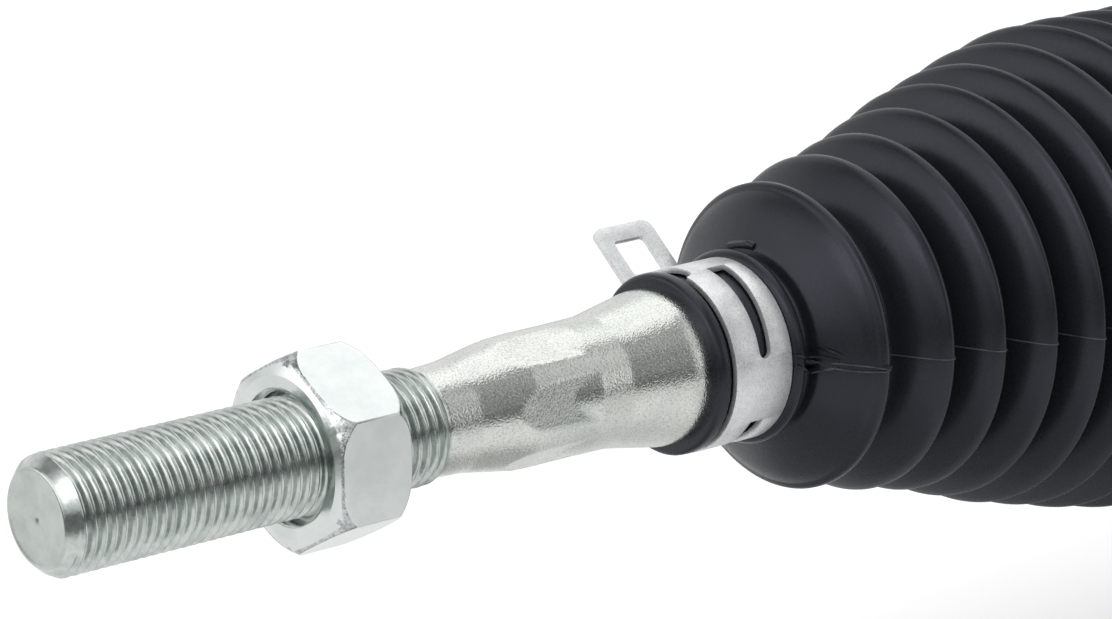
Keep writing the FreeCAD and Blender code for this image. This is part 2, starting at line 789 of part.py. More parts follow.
def make_pinion_pieces():
    """Bearings, clip, nut, seal, cap and foot plug, all round the pinion's axis."""
    foot, top = d.bearing_foot, bearing_top
    race = d.ball_radius * 0.9
    middle = (d.shaft_radius + d.bearing_radius) / 2
    inner_land = middle - race
    outer_land = middle + race
    for label, inner, outer in (
        ("upper_bearing_inner_ring", d.shaft_radius, inner_land),
        ("upper_bearing_outer_ring", outer_land, d.bearing_radius),
    ):
        body = lathe(label, [(r, u) for u, r in ring_points(foot, top, inner, outer)], "V_Axis")
        groove = body.newObject("PartDesign::SubtractiveTorus", f"{label}_race")
        bind(groove, "Radius1", middle)
        bind(groove, "Radius2", d.ball_radius + d.running_gap)
        place(groove, 0, 0, (foot + top) / 2, prefix="AttachmentOffset")
        groove.AttachmentSupport = [(datum(body, "XY_Plane"), "")]
        groove.MapMode = "FlatFace"
        on_pinion_line(body)

    height = (foot.value + top.value) / 2
    balls = []
    pockets = []
    for k in range(int(d.ball_count.value)):
        angle = 2 * math.pi * k / d.ball_count.value
        spot = Vector(middle.value * math.cos(angle), middle.value * math.sin(angle), height)
        balls.append(Part.makeSphere(d.ball_radius.value, spot))
        pockets.append(Part.makeSphere(d.ball_radius.value + 0.1, spot))
    add_shape("upper_bearing_balls", Part.makeCompound(balls))
    half_wall = d.cage_wall.value / 2
    cage_foot = Vector(0, 0, height - d.ball_radius.value - d.cage_floor.value)
    cage_height = height + d.cage_rise.value - cage_foot.z
    outside = Part.makeCylinder(middle.value + half_wall, cage_height, cage_foot)
    inside = Part.makeCylinder(middle.value - half_wall, cage_height, cage_foot)
    crown = outside.cut(inside).cut(Part.makeCompound(pockets))
    add_shape("upper_bearing_cage", crown.Solids[0])

    clip = [
        (d.clip_groove_radius + 0.02, top + 0.05),
        (d.clip_radius, top + 0.05),
        (d.clip_radius, top + d.clip_thickness - 0.05),
        (d.clip_groove_radius + 0.02, top + d.clip_thickness - 0.05),
    ]
    on_pinion_line(lathe("pinion_circlip", clip, "V_Axis"))
    make_ring_nut()
    sill = ring_nut_foot + d.ring_nut_sill
    lip = d.shaft_radius + d.running_gap
    seal = [
        (lip, sill + 2.0),
        (lip + 1.2, sill),
        (d.seal_radius, sill),
        (d.seal_radius, sill + d.seal_height),
        (lip + 1.0, sill + d.seal_height),
        (lip + 1.0, sill + d.seal_height - 1.2),
        (d.seal_radius - 1.6, sill + d.seal_height - 1.2),
        (d.seal_radius - 1.6, sill + 1.4),
        (lip + 1.6, sill + 1.4),
        (lip + 0.8, sill + 3.2),
    ]
    on_pinion_line(lathe("pinion_shaft_seal", seal, "V_Axis"))
    make_dust_cap()
    shell_inner = d.shell_radius - d.shell_wall
    lip_radius = d.journal_radius + 0.6
    shell = [
        (lip_radius, d.shell_foot),
        (d.shell_radius, d.shell_foot),
        (d.shell_radius, d.shell_foot + d.shell_length),
        (lip_radius, d.shell_foot + d.shell_length),
        (lip_radius, d.shell_foot + d.shell_length - d.shell_wall),
        (shell_inner, d.shell_foot + d.shell_length - d.shell_wall),
        (shell_inner, d.shell_foot + d.shell_wall),
        (lip_radius, d.shell_foot + d.shell_wall),
    ]
    on_pinion_line(lathe("lower_bearing_shell", shell, "V_Axis"))
    start = d.shell_foot.value + d.shell_wall.value + 0.2
    length = d.shell_length.value - 2 * d.shell_wall.value - 0.4
    circle_radius = (d.journal_radius.value + shell_inner.value) / 2
    rollers = []
    for k in range(int(d.roller_count.value)):
        angle = 2 * math.pi * k / d.roller_count.value
        spot = Vector(circle_radius * math.cos(angle), circle_radius * math.sin(angle), start)
        rollers.append(Part.makeCylinder(d.roller_radius.value - 0.05, length, spot))
    add_shape("lower_bearing_rollers", Part.makeCompound(rollers))
    plug_top = d.tower_foot + d.foot_plug_height
    plug = [
        (0, d.tower_foot + 0.6),
        (d.foot_plug_radius - 2.5, d.tower_foot + 0.6),
        (d.foot_plug_radius - 1.6, d.tower_foot),
        (d.foot_plug_radius, d.tower_foot),
        (d.foot_plug_radius, plug_top),
        (d.foot_plug_radius - 1.4, plug_top),
        (d.foot_plug_radius - 1.4, d.tower_foot + 2.2),
        (0, d.tower_foot + 2.2),
    ]
    on_pinion_line(lathe("tower_foot_plug", plug, "V_Axis"))


def add_shape(label, shape):
    """A Part feature on the pinion's axis."""
    made = doc.addObject("Part::Feature", label)
    made.Label = label
    made.Shape = shape
    on_pinion_line(made)


def make_ring_nut():
    """The slotted ring that locks the upper bearing in the tower."""
    foot = ring_nut_foot
    top = foot + d.ring_nut_height
    sill = foot + d.ring_nut_sill
    outer = d.ring_nut_radius - 0.05
    points = [
        (d.ring_nut_bore, foot),
        (outer, foot),
        (outer, top - 0.8),
        (outer - 0.8, top),
        (d.seal_radius, top),
        (d.seal_radius, sill),
        (d.ring_nut_bore, sill),
    ]
    body = lathe("pinion_ring_nut", points, "V_Axis")
    slot = new_sketch(body, "slot", "XY_Plane", z=top)
    half = d.ring_nut_slot_width / 2
    inner = d.seal_radius - 1.0
    outline(slot, [(inner, -half), (outer + 2.0, -half), (outer + 2.0, half), (inner, half)])
    cut = feature(body, "Pocket", "slot_cut", slot, Length=d.ring_nut_slot_depth)
    polar(body, cut, "slots", d.ring_nut_slots)
    on_pinion_line(body)


def polar(body, source, name, count, axis="Z_Axis"):
    """Repeat a feature evenly round one of the body's own axes."""
    pattern = body.newObject("PartDesign::PolarPattern", f"{body.Name}_{name}")
    pattern.Originals = [source]
    pattern.Axis = (datum(body, axis), [""])
    pattern.Angle = 360
    bind(pattern, "Occurrences", count)
    body.Tip = pattern


def make_dust_cap():
    """The rubber cap on the tower's top, with a lip round the input shaft."""
    top = d.tower_top
    land = d.cap_land_radius
    wall = d.cap_wall
    shaft = d.shaft_radius + d.running_gap
    crest = top + d.cap_height - wall
    points = [
        (land, top - d.cap_land_height + 1.0),
        (land + wall, top - d.cap_land_height + 1.0),
        (land + wall, top + 1.5),
        (land - 2.5, top + 5.0),
        (shaft + 4.0, top + 6.0),
        (shaft + 2.0, crest - 4.0),
        (shaft + 1.4, crest - 4.0),
        (shaft + 1.4, crest - 7.0 + 1.0),
        (shaft, crest - 7.0 + 1.0),
        (shaft, top + 3.4),
        (land - 4.0, top + 2.6),
        (land - 1.5, top + 0.2),
        (land, top + 0.2),
    ]
    on_pinion_line(lathe("tower_dust_cap", points, "V_Axis"))


def make_yoke():
    """The spring-loaded yoke that holds the rack against the pinion."""
    body = new_body("support_yoke")
    groove = d.o_ring_groove
    outer = d.yoke_radius
    first = d.o_ring_first
    second = first + d.o_ring_pitch
    wide = d.o_ring_thickness + 0.2
    points = [
        (0, -d.yoke_front),
        (outer, -d.yoke_front),
        (outer, -first),
        (outer - groove, -first),
        (outer - groove, -first - wide),
        (outer, -first - wide),
        (outer, -second),
        (outer - groove, -second),
        (outer - groove, -second - wide),
        (outer, -second - wide),
        (outer, -d.yoke_back + 1.0),
        (outer - 1.0, -d.yoke_back),
        (d.yoke_pocket_radius, -d.yoke_back),
        (d.yoke_pocket_radius, -d.yoke_back + d.yoke_pocket_depth),
        (0, -d.yoke_back + d.yoke_pocket_depth),
    ]
    turned(body, "turned", points, "V_Axis", plane="XY_Plane")
    saddle = new_sketch(body, "saddle", "YZ_Plane")
    circle(saddle, yoke_saddle + press_gap)
    feature(body, "Pocket", "saddle_cut", saddle, Length=2 * d.yoke_radius + 4.0, Midplane=True)
    on_yoke_line(body)

    liner = new_body("yoke_liner")
    arc = new_sketch(liner, "arc", "YZ_Plane")
    circle(arc, yoke_saddle)
    circle(arc, d.rack_radius + d.running_gap)
    feature(liner, "Pad", "ring", arc, Length=1.5 * d.yoke_radius, Midplane=True)
    edge = yoke_saddle * function_of("cos", d.liner_half_angle)
    keep = new_sketch(liner, "keep", "YZ_Plane")
    far = yoke_saddle + 1.0
    outline(keep, [(-edge, -far), (far, -far), (far, far), (-edge, far)])
    feature(liner, "Pocket", "opening", keep, Length=2 * d.yoke_radius, Midplane=True)
    on_yoke_line(liner)

    rings = []
    for k in range(2):
        middle = (first + d.o_ring_thickness / 2 + 0.1 + k * d.o_ring_pitch).value
        minor = d.o_ring_thickness.value / 2
        major = (d.yoke_radius + d.running_gap).value - minor
        rings.append(Part.makeTorus(major, minor, Vector(0, -middle, 0), Vector(0, 1, 0)))
    made = doc.addObject("Part::Feature", "yoke_o_rings")
    made.Label = "yoke_o_rings"
    made.Shape = Part.makeCompound(rings)
    on_yoke_line(made)
    make_yoke_spring()
    make_yoke_plug()


def make_yoke_spring():
    """The coil spring between the yoke and its adjuster plug."""
    wire = d.spring_wire.value
    start = d.yoke_back.value - d.yoke_pocket_depth.value + wire / 2 + 0.05
    end = (d.yoke_back + d.yoke_play + d.plug_pocket).value - wire / 2 - 0.05
    turns = d.spring_turns.value
    helix = Part.makeHelix((end - start) / turns, end - start, d.spring_radius.value)
    section = Part.Wire(
        Part.Circle(Vector(d.spring_radius.value, 0, 0), Vector(0, 1, 0), wire / 2).toShape()
    )
    coil = Part.Wire(helix).makePipeShell([section], True, True)
    coil.rotate(Vector(0, 0, 0), Vector(1, 0, 0), 90)
    coil.translate(Vector(0, -start, 0))
    made = doc.addObject("Part::Feature", "yoke_spring")
    made.Label = "yoke_spring"
    made.Shape = Part.makeCompound([coil])
    on_yoke_line(made)


def hexagon(flats, turn=0):
    """The corners of a hexagon, by its width across flats and the turn of its first corner."""
    corner = flats / math.sqrt(3)
    angles = [math.radians(60 * k + turn) for k in range(6)]
    return [(corner * math.cos(a), corner * math.sin(a)) for a in angles]


def make_yoke_plug():
    """The threaded adjuster plug and its lock nut."""
    body = new_body("yoke_adjuster_plug")
    front = d.yoke_back + d.yoke_play
    radius = d.plug_radius - 0.05
    points = [
        (0, -front - d.plug_pocket),
        (d.yoke_pocket_radius, -front - d.plug_pocket),
        (d.yoke_pocket_radius, -front),
        (radius, -front),
        (radius, -d.plug_end + 1.2),
        (radius - 1.2, -d.plug_end),
        (0, -d.plug_end),
    ]
    turned(body, "turned", points, "V_Axis", plane="XY_Plane")
    socket = new_sketch(body, "socket", "XZ_Plane", z=d.plug_end)
    outline(socket, hexagon(d.plug_socket_flats))
    feature(body, "Pocket", "socket_cut", socket, Length=d.plug_socket_depth)
    on_yoke_line(body)

    nut = new_body("yoke_lock_nut")
    shape = new_sketch(nut, "hexagon", "XZ_Plane", z=d.boss_end)
    outline(shape, hexagon(d.yoke_nut_flats))
    circle(shape, d.plug_radius)
    feature(nut, "Pad", "hexagon_pad", shape, Length=d.yoke_nut_height)
    land = d.yoke_nut_flats / 2 * 0.97
    far = d.yoke_nut_flats * 0.7
    face = d.boss_end + d.yoke_nut_height
    drop = (far - land) * function_of("tan", d.lock_nut_chamfer)
    corner = [(land, -face), (far, -face), (far, drop - face)]
    turned(nut, "chamfer", corner, "V_Axis", cut=True, plane="XY_Plane")
    on_yoke_line(nut)


def make_mounts():
    """A rubber bush and a steel sleeve for each mounting bolt."""
    for side, sign in ((LEFT, -1), (RIGHT, 1)):
        low = d.lug_foot
        high = d.lug_foot + d.lug_height
        lip = d.rubber_radius + d.rubber_lip
        sleeve = d.sleeve_radius
        points = [
            (sleeve, low - d.rubber_lip_thickness),
            (lip - 0.8, low - d.rubber_lip_thickness),
            (lip, low),
            (d.rubber_radius - press_gap, low),
            (d.rubber_radius - press_gap, high),
            (lip, high),
            (lip - 0.8, high + d.rubber_lip_thickness),
            (sleeve, high + d.rubber_lip_thickness),
        ]
        rubber = lathe(f"mount_bush_{side}", points, "V_Axis")
        place(rubber, sign * d.bolt_span / 2)
        steel = [
            (d.bolt_hole_radius, 0),
            (sleeve - 0.6, 0),
            (sleeve, 0.6),
            (sleeve, d.sleeve_length - 0.6),
            (sleeve - 0.6, d.sleeve_length),
            (d.bolt_hole_radius, d.sleeve_length),
        ]
        place(lathe(f"mount_sleeve_{side}", steel, "V_Axis"), sign * d.bolt_span / 2)


def make_rack():
    """The rack bar, with trapezoid teeth along a flat on its pinion side."""
    body = new_body("rack_bar")
    on_rack_line(body, lean=True)
    chamfer = d.rack_end_chamfer
    hole = d.joint_stud_radius
    depth = d.joint_stud_length + 3.0
    points = [
        (-rack_end + depth, 0),
        (-rack_end + depth, hole),
        (-rack_end, hole),
        (-rack_end, d.rack_radius - chamfer),
        (-rack_end + chamfer, d.rack_radius),
        (rack_end - chamfer, d.rack_radius),
        (rack_end, d.rack_radius - chamfer),
        (rack_end, hole),
        (rack_end - depth, hole),
        (rack_end - depth, 0),
    ]
    turned(body, "bar", points)
    slope = function_of("tan", d.pressure_angle)
    half_flat = (d.rack_gaps - 1) * tooth_pitch / 2 + tooth_pitch
    far = d.rack_radius + 1.0
    flat = new_sketch(body, "flat", "XY_Plane", x=d.pinion_x)
    outline(
        flat,
        [
            (-half_flat, d.rack_flat),
            (half_flat, d.rack_flat),
            (half_flat + 4.0, far),
            (-half_flat - 4.0, far),
        ],
    )
    feature(body, "Pocket", "flat_cut", flat, Length=2 * far, Midplane=True)
    thick = (math.pi / 2 + 2 * d.profile_shift * slope) * d.tooth_module
    at_pitch = tooth_pitch - thick
    at_tip = at_pitch - 2 * d.rack_tooth_rise * slope
    half_open = (tooth_pitch - at_tip) / 2
    half_root = half_open - rack_tooth_depth * slope
    over = 0.5
    first = -(d.rack_gaps - 1) * tooth_pitch / 2
    gap = new_sketch(body, "gap", "XY_Plane", x=d.pinion_x + first)
    outline(
        gap,
        [
            (-half_root, d.rack_flat - rack_tooth_depth),
            (half_root, d.rack_flat - rack_tooth_depth),
            (half_open + over * slope, d.rack_flat + over),
            (-half_open - over * slope, d.rack_flat + over),
        ],
    )
    cut = feature(body, "Pocket", "gap_cut", gap, Length=2 * far, Midplane=True)
    pattern = body.newObject("PartDesign::LinearPattern", "rack_teeth")
    pattern.Originals = [cut]
    pattern.Direction = (datum(body, "X_Axis"), [""])
    bind(pattern, "Length", (d.rack_gaps - 1) * tooth_pitch)
    bind(pattern, "Occurrences", d.rack_gaps)
    body.Tip = pattern
    return body


def make_joint(side):
    """One inner ball joint: its screwed-on housing, lock washer and plastic seat."""
    ball = d.tip_to_ball
    back = ball + d.joint_back
    lip = ball - d.joint_lip
    mouth = ball - d.joint_mouth_at
    flare = d.joint_mouth_radius + (d.joint_lip - d.joint_mouth_at) * d.joint_mouth_slope
    stud = d.joint_stud_radius - 0.05
    stud_end = back + d.washer_thickness + d.joint_stud_length
    body = new_body(f"joint_housing_{side}")
    points = [
        (lip, flare),
        (lip, d.joint_lip_radius),
        (ball, d.joint_radius),
        (back - 1.0, d.joint_radius),
        (back, d.joint_radius - 1.0),
        (back, stud),
        (stud_end - 1.0, stud),
        (stud_end, stud - 1.0),
        (stud_end, 0),
        (mouth, 0),
        (mouth, d.joint_mouth_radius),
    ]
    turned(body, "turned", points)
    cavity = body.newObject("PartDesign::SubtractiveSphere", f"joint_cavity_{side}")
    bind(cavity, "Radius", d.joint_ball_radius + d.running_gap + d.seat_thickness + 0.02)
    cavity.AttachmentSupport = [(datum(body, "XY_Plane"), "")]
    cavity.MapMode = "FlatFace"
    place(cavity, ball, 0, 0, prefix="AttachmentOffset")
    flats = new_sketch(body, "flats", "XY_Plane")
    half = d.joint_flats / 2
    outer = d.joint_radius + 1.0
    start = back - 2.0 - d.joint_flat_length
    for sign in (-1, 1):
        outline_at = [
            (start, sign * half),
            (start + d.joint_flat_length, sign * half),
            (start + d.joint_flat_length, sign * outer),
            (start, sign * outer),
        ]
        outline(flats, outline_at)
    feature(body, "Pocket", "flats_cut", flats, Length=3 * d.joint_radius, Midplane=True)
    on_rack_line(body, side)

    seat = new_body(f"ball_seat_{side}")
    shell = seat.newObject("PartDesign::AdditiveSphere", f"seat_outside_{side}")
    bind(shell, "Radius", d.joint_ball_radius + d.running_gap + d.seat_thickness)
    hollow = seat.newObject("PartDesign::SubtractiveSphere", f"seat_inside_{side}")
    bind(hollow, "Radius", d.joint_ball_radius + d.running_gap)
    for sphere in (shell, hollow):
        sphere.AttachmentSupport = [(datum(seat, "XY_Plane"), "")]
        sphere.MapMode = "FlatFace"
        place(sphere, ball, 0, 0, prefix="AttachmentOffset")
    reach = d.joint_ball_radius + d.seat_thickness + 3.0
    opening = [
        (mouth, 0),
        (mouth, reach),
        (ball - reach, reach),
        (ball - reach, 0),
    ]
    turned(seat, "mouth", opening, cut=True)
    on_rack_line(seat, side)

    washer = ring_points(back, back + d.washer_thickness, stud + 0.1, d.washer_radius)
    on_rack_line(lathe(f"joint_lock_washer_{side}", washer), side)


def make_tie_rod(side):
    """One forged tie rod with its ball, and the lock nut on its thread."""
    body = new_body(f"tie_rod_{side}")
    ball = d.tip_to_ball
    points = [
        (0, 0),
        (0, d.thread_radius - d.tip_chamfer),
        (d.tip_chamfer, d.thread_radius),
        (d.lock_nut_at, d.thread_radius),
        (d.lock_nut_at, d.thread_radius - d.thread_run_out),
        (d.thread_end, d.thread_radius - d.thread_run_out),
        (d.thread_end + 1.0, d.waist_radius),
        (d.waist_at, d.waist_radius),
        (d.grip_start, d.grip_radius - 0.3),
        (d.grip_start + 4.0, d.grip_radius),
        (d.grip_end, d.grip_radius),
        (d.swell_end, d.swell_radius),
        (d.boot_groove_start - 0.6, d.swell_radius),
        (d.boot_groove_start, d.boot_groove_radius),
        (d.boot_groove_end, d.boot_groove_radius),
        (d.boot_groove_end + 0.8, d.swell_radius - 0.3),
        (d.shank_start, d.shank_radius),
        (d.shank_end, d.shank_radius),
        (d.neck_start, d.neck_radius),
        (ball, d.neck_radius),
        (ball, 0),
    ]
    turned(body, "forging", points)
    sphere = body.newObject("PartDesign::AdditiveSphere", f"rod_ball_{side}")
    bind(sphere, "Radius", d.joint_ball_radius)
    sphere.AttachmentSupport = [(datum(body, "XY_Plane"), "")]
    sphere.MapMode = "FlatFace"
    place(sphere, ball, 0, 0, prefix="AttachmentOffset")
    flat = new_sketch(body, "grip_flat", "XY_Plane", angle=d.grip_turn)
    half = d.grip_flats / 2
    ramp_end = d.grip_flat_end + d.grip_ramp_length
    clear = half + d.grip_ramp_rise + 2.0
    outline(
        flat,
        [
            (d.grip_flat_start, half),
            (d.grip_flat_end, half),
            (ramp_end, half + d.grip_ramp_rise),
            (ramp_end, clear),
            (d.grip_flat_start, clear),
        ],
    )
    cut = feature(body, "Pocket", "grip_flat_cut", flat, Length=2 * clear, Midplane=True)
    polar(body, cut, "grip_flats", d.grip_sides, "X_Axis")
    on_rack_line(body, side)

    nut = new_body(f"tie_rod_lock_nut_{side}")
    shape = new_sketch(nut, "hexagon", "YZ_Plane", z=d.lock_nut_at)
    outline(shape, hexagon(d.lock_nut_flats, 90))
    circle(shape, d.thread_radius - d.thread_run_out + d.running_gap)
    feature(nut, "Pad", "hexagon_pad", shape, Length=d.lock_nut_height)
    land = d.lock_nut_flats / 2 * 0.96
    far = d.lock_nut_flats * 0.65
    drop = (far - land) * function_of("tan", d.lock_nut_chamfer)
    start = d.lock_nut_at
    end = d.lock_nut_at + d.lock_nut_height
    turned(nut, "front_chamfer", [(start, land), (start, far), (start + drop, far)], cut=True)
    turned(nut, "back_chamfer", [(end, land), (end, far), (end - drop, far)], cut=True)
    on_rack_line(nut, side)


def make_bellows(side):
    """One rubber bellows, from its cuff on the tie rod to its cuff on the housing."""
    wall = d.rubber_wall
    gap = d.soft_gap
    outside = [
        (d.lip_start, d.boot_groove_radius + gap + 0.9),
        (d.lip_start, d.lip_radius - 0.6),
        (d.lip_start + 0.6, d.lip_radius),
        (d.lip_end, d.lip_radius),
        (d.lip_end, d.neck_band_radius),
        (d.neck_band_end, d.neck_band_radius),
        (d.neck_band_end + 1.5, d.neck_band_radius + 2.2),
        (d.first_fold, d.first_fold_radius),
        (d.full_fold, d.full_fold_radius),
        (d.last_fold, d.full_fold_radius),
        (cuff_start - 1.0, d.cuff_radius),
        (cuff_end, d.cuff_radius),
    ]
    inside = [
        (cuff_end, d.seat_radius),
        (cuff_start, d.seat_radius),
        (cuff_start, d.bead_radius + 0.1),
        (cuff_start - d.bead_width, d.bead_radius + 0.1),
        (d.last_fold - 1.0, d.full_fold_radius - wall),
        (d.full_fold, d.full_fold_radius - wall),
        (d.first_fold + 1.0, d.first_fold_radius - wall),
        (d.neck_band_end + 2.5, d.neck_band_radius - 0.4),
        (d.boot_groove_end - 0.6, d.boot_groove_radius + gap),
        (d.boot_groove_start + 0.5, d.boot_groove_radius + gap),
    ]
    on_rack_line(lathe(f"bellows_{side}", outside + inside), side)


def make_clamps(side):
    """The small spring clamp on the tie rod and the ear clamp on the housing."""
    small = new_body(f"small_clamp_{side}")
    inner = d.neck_band_radius + d.soft_gap
    outer = inner + d.band_thickness
    start = d.small_clamp_at
    end = start + d.small_clamp_width
    turned(small, "band", ring_points(start, end, inner, outer))
    middle = (start + end) / 2
    half = d.slot_width / 2
    for name, turn, sweep in (
        ("upper_slot", d.upper_slot_turn, d.upper_slot_sweep),
        ("lower_slot", d.lower_slot_turn, d.lower_slot_sweep),
    ):
        slot = ring_points(middle - half, middle + half, inner - 1.0, outer + 1.0)
        turned(small, name, slot, cut=True, sweep=sweep, angle=turn)
    step = ring_points(start - 1.0, start + d.tongue_step, inner - 1.0, outer + 1.0)
    turned(small, "tongue", step, cut=True, sweep=d.tongue_sweep, angle=d.tongue_turn)
    tab = new_sketch(small, "tab", "XZ_Plane", angle=d.tab_turn)
    low = inner + 0.2
    high = inner + d.tab_height
    corner = d.tab_corner
    outline(
        tab,
        [
            (start, low),
            (end, low),
            (end, high - corner),
            (end - corner, high),
            (start + corner, high),
            (start, high - corner),
        ],
    )
    rim = d.tab_rim
    outline(
        tab,
        [
            (start + rim, outer + 0.5),
            (end - rim, outer + 0.5),
            (end - rim, high - rim),
            (start + rim, high - rim),
        ],
    )
    feature(small, "Pad", "tab_pad", tab, Length=d.band_thickness, Midplane=True)
    on_rack_line(small, side)

    large = new_body(f"large_clamp_{side}")
    inner = d.cuff_radius + 0.05
    outer = inner + d.band_thickness
    start = (cuff_start + cuff_end - d.large_clamp_width) / 2
    end = start + d.large_clamp_width
    turned(large, "band", ring_points(start, end, inner, outer))
    ear = new_sketch(large, "ear", "YZ_Plane", z=start)
    half = d.ear_length / 2
    wall = d.band_thickness
    rise = d.ear_height
    outline(
        ear,
        [
            (-half, inner - 0.6),
            (-half * 0.7, inner + rise),
            (half * 0.7, inner + rise),
            (half, inner - 0.6),
            (half - wall, inner - 0.6),
            (half * 0.7 - wall, inner + rise - wall),
            (-half * 0.7 + wall, inner + rise - wall),
            (-half + wall, inner - 0.6),
        ],
    )
    feature(large, "Pad", "ear_pad", ear, Length=d.large_clamp_width)
    turned(large, "band_bore", ring_points(start - 1, end + 1, 0, inner), cut=True)
    on_rack_line(large, side)


def check_and_export():
    """Stop if anything failed to build, then write each sub-part's file."""
    doc.recompute()
    broken = [o.Name for o in doc.Objects if "Invalid" in o.State or "Error" in o.State]
    if broken:
        raise RuntimeError(f"these objects failed: {broken}")
    os.makedirs("parts", exist_ok=True)
    shapes = [o for o in doc.Objects if o.TypeId in ("PartDesign::Body", "Part::Feature")]
    for piece in shapes:
        shape = piece.Shape
        if shape.isNull() or not shape.isValid() or not shape.Solids:
            raise RuntimeError(f"{piece.Label} has no valid solid")
        shape.exportStep(f"parts/{piece.Label}.step")
        print(f"{piece.Label}: {len(shape.Solids)} solid(s), {shape.Volume:.0f} mm3")


make_housing()
make_housing_pieces()
make_pinion()
make_pinion_pieces()
make_yoke()
make_mounts()
make_rack()
for name in SIDES:
    make_joint(name)
    make_tie_rod(name)
    make_bellows(name)
    make_clamps(name)
check_and_export()
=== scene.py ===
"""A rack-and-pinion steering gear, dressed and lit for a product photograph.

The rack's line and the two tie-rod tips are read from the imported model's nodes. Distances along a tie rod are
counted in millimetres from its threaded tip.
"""

import json
import logging
import math
from collections.abc import Callable, Mapping, Sequence
from dataclasses import dataclass
from enum import Enum
from functools import reduce

import bmesh
import bpy
import numpy as np
from mathutils import Matrix, Vector


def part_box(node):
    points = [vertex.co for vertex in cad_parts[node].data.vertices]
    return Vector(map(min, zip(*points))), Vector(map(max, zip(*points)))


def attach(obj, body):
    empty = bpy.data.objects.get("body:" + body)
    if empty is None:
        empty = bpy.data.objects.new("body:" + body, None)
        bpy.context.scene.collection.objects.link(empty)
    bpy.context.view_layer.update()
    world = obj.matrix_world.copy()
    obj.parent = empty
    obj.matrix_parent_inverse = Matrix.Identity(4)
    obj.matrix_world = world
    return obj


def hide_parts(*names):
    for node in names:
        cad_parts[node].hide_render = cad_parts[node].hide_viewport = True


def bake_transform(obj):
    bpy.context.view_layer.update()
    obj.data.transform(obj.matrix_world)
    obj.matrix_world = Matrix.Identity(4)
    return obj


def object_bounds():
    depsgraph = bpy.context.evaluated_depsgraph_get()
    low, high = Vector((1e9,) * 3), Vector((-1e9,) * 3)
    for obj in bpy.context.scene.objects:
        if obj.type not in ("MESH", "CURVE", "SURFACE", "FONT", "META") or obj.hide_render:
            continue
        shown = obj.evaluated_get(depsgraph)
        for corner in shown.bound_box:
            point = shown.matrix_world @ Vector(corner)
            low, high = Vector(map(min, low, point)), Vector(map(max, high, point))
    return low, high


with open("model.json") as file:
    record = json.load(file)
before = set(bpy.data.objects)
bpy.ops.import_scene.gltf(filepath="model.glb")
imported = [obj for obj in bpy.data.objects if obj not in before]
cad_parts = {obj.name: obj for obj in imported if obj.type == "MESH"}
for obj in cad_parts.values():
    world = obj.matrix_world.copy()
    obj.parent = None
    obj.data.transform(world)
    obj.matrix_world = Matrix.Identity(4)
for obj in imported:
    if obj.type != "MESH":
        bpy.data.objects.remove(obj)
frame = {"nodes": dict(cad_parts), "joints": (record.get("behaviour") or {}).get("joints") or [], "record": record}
CAD_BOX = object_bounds()

LOG = logging.getLogger("steering_gear")
MM = 0.001
TURN = 2.0 * math.pi
TINY = 1e-6
WELD = 1e-7

Piece = bpy.types.Object
Mesh = bpy.types.Mesh
Work = bmesh.types.BMesh
Material = bpy.types.Material
Tree = bpy.types.NodeTree
Node = bpy.types.Node
Socket = bpy.types.NodeSocket
Point = tuple[float, float, float]
Profile = Sequence[tuple[float, float]]


class Side(Enum):
    """The two ends of the gear."""

    LEFT = "left"
    RIGHT = "right"

    @property
    def rod_body(self) -> str:
        """The body that this end's tie rod belongs to."""
        return f"tie_rod_{self.value}"

    def place(self) -> Matrix:
        """Where a piece drawn in metres from the tie rod's tip inwards along +X belongs.

        Returns:
            The matrix from the tie rod's own line to the gear.
        """
        low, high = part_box("rack_bar")
        middle = (low + high) / 2
        tip_low, tip_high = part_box(f"tie_rod_{self.value}")
        if self is Side.LEFT:
            return Matrix.Translation((tip_low.x, middle.y, middle.z))
        turned = Matrix.Rotation(math.pi, 4, "Z")
        return Matrix.Translation((tip_high.x, middle.y, middle.z)) @ turned

    def point(self, along_mm: float) -> Point:
        """A point on the rack's line, by its distance from the tip.

        Args:
            along_mm: Distance from the tie rod's tip in millimetres.

        Returns:
            The point in the gear's frame, in metres.
        """
        return tuple(self.place() @ Vector((along_mm * MM, 0.0, 0.0)))


class Ground(Enum):
    """How a metal surface was worked: the stretch of its fine lines along X, Y and Z."""

    NONE = (1.0, 1.0, 1.0)
    LENGTHWISE = (0.02, 1.0, 1.0)
    TURNED = (1.0, 0.02, 0.02)


# --- small helpers ---------------------------------------------------------------------------------


def linear(code: str) -> tuple[float, float, float, float]:
    """Turn an sRGB hex colour into the linear colour that Blender takes.

    Args:
        code: Six hex digits, with a leading #.

    Returns:
        Linear red, green and blue, and an alpha of 1.
    """
    values = [int(code[k : k + 2], 16) / 255 for k in (1, 3, 5)]
    return (*[v / 12.92 if v <= 0.04045 else ((v + 0.055) / 1.055) ** 2.4 for v in values], 1.0)


WHITE = linear("#ffffff")


def add_node(
    tree: Tree, kind: str, links: Mapping[str | int, object] | None = None, **settings: object
) -> Node:
    """Add a node with its settings and what its inputs read.

    Args:
        tree: The node tree that gets the node.
        kind: The node's type name.
        links: Input name or number to another node's output socket, or to a plain value.
        settings: The node's own properties.

    Returns:
        The new node.
    """
    node = tree.nodes.new(kind)
    for key, value in settings.items():
        setattr(node, key, value)
    for key, value in (links or {}).items():
        if isinstance(value, Socket):
            tree.links.new(value, node.inputs[key])
        else:
            node.inputs[key].default_value = value
    return node


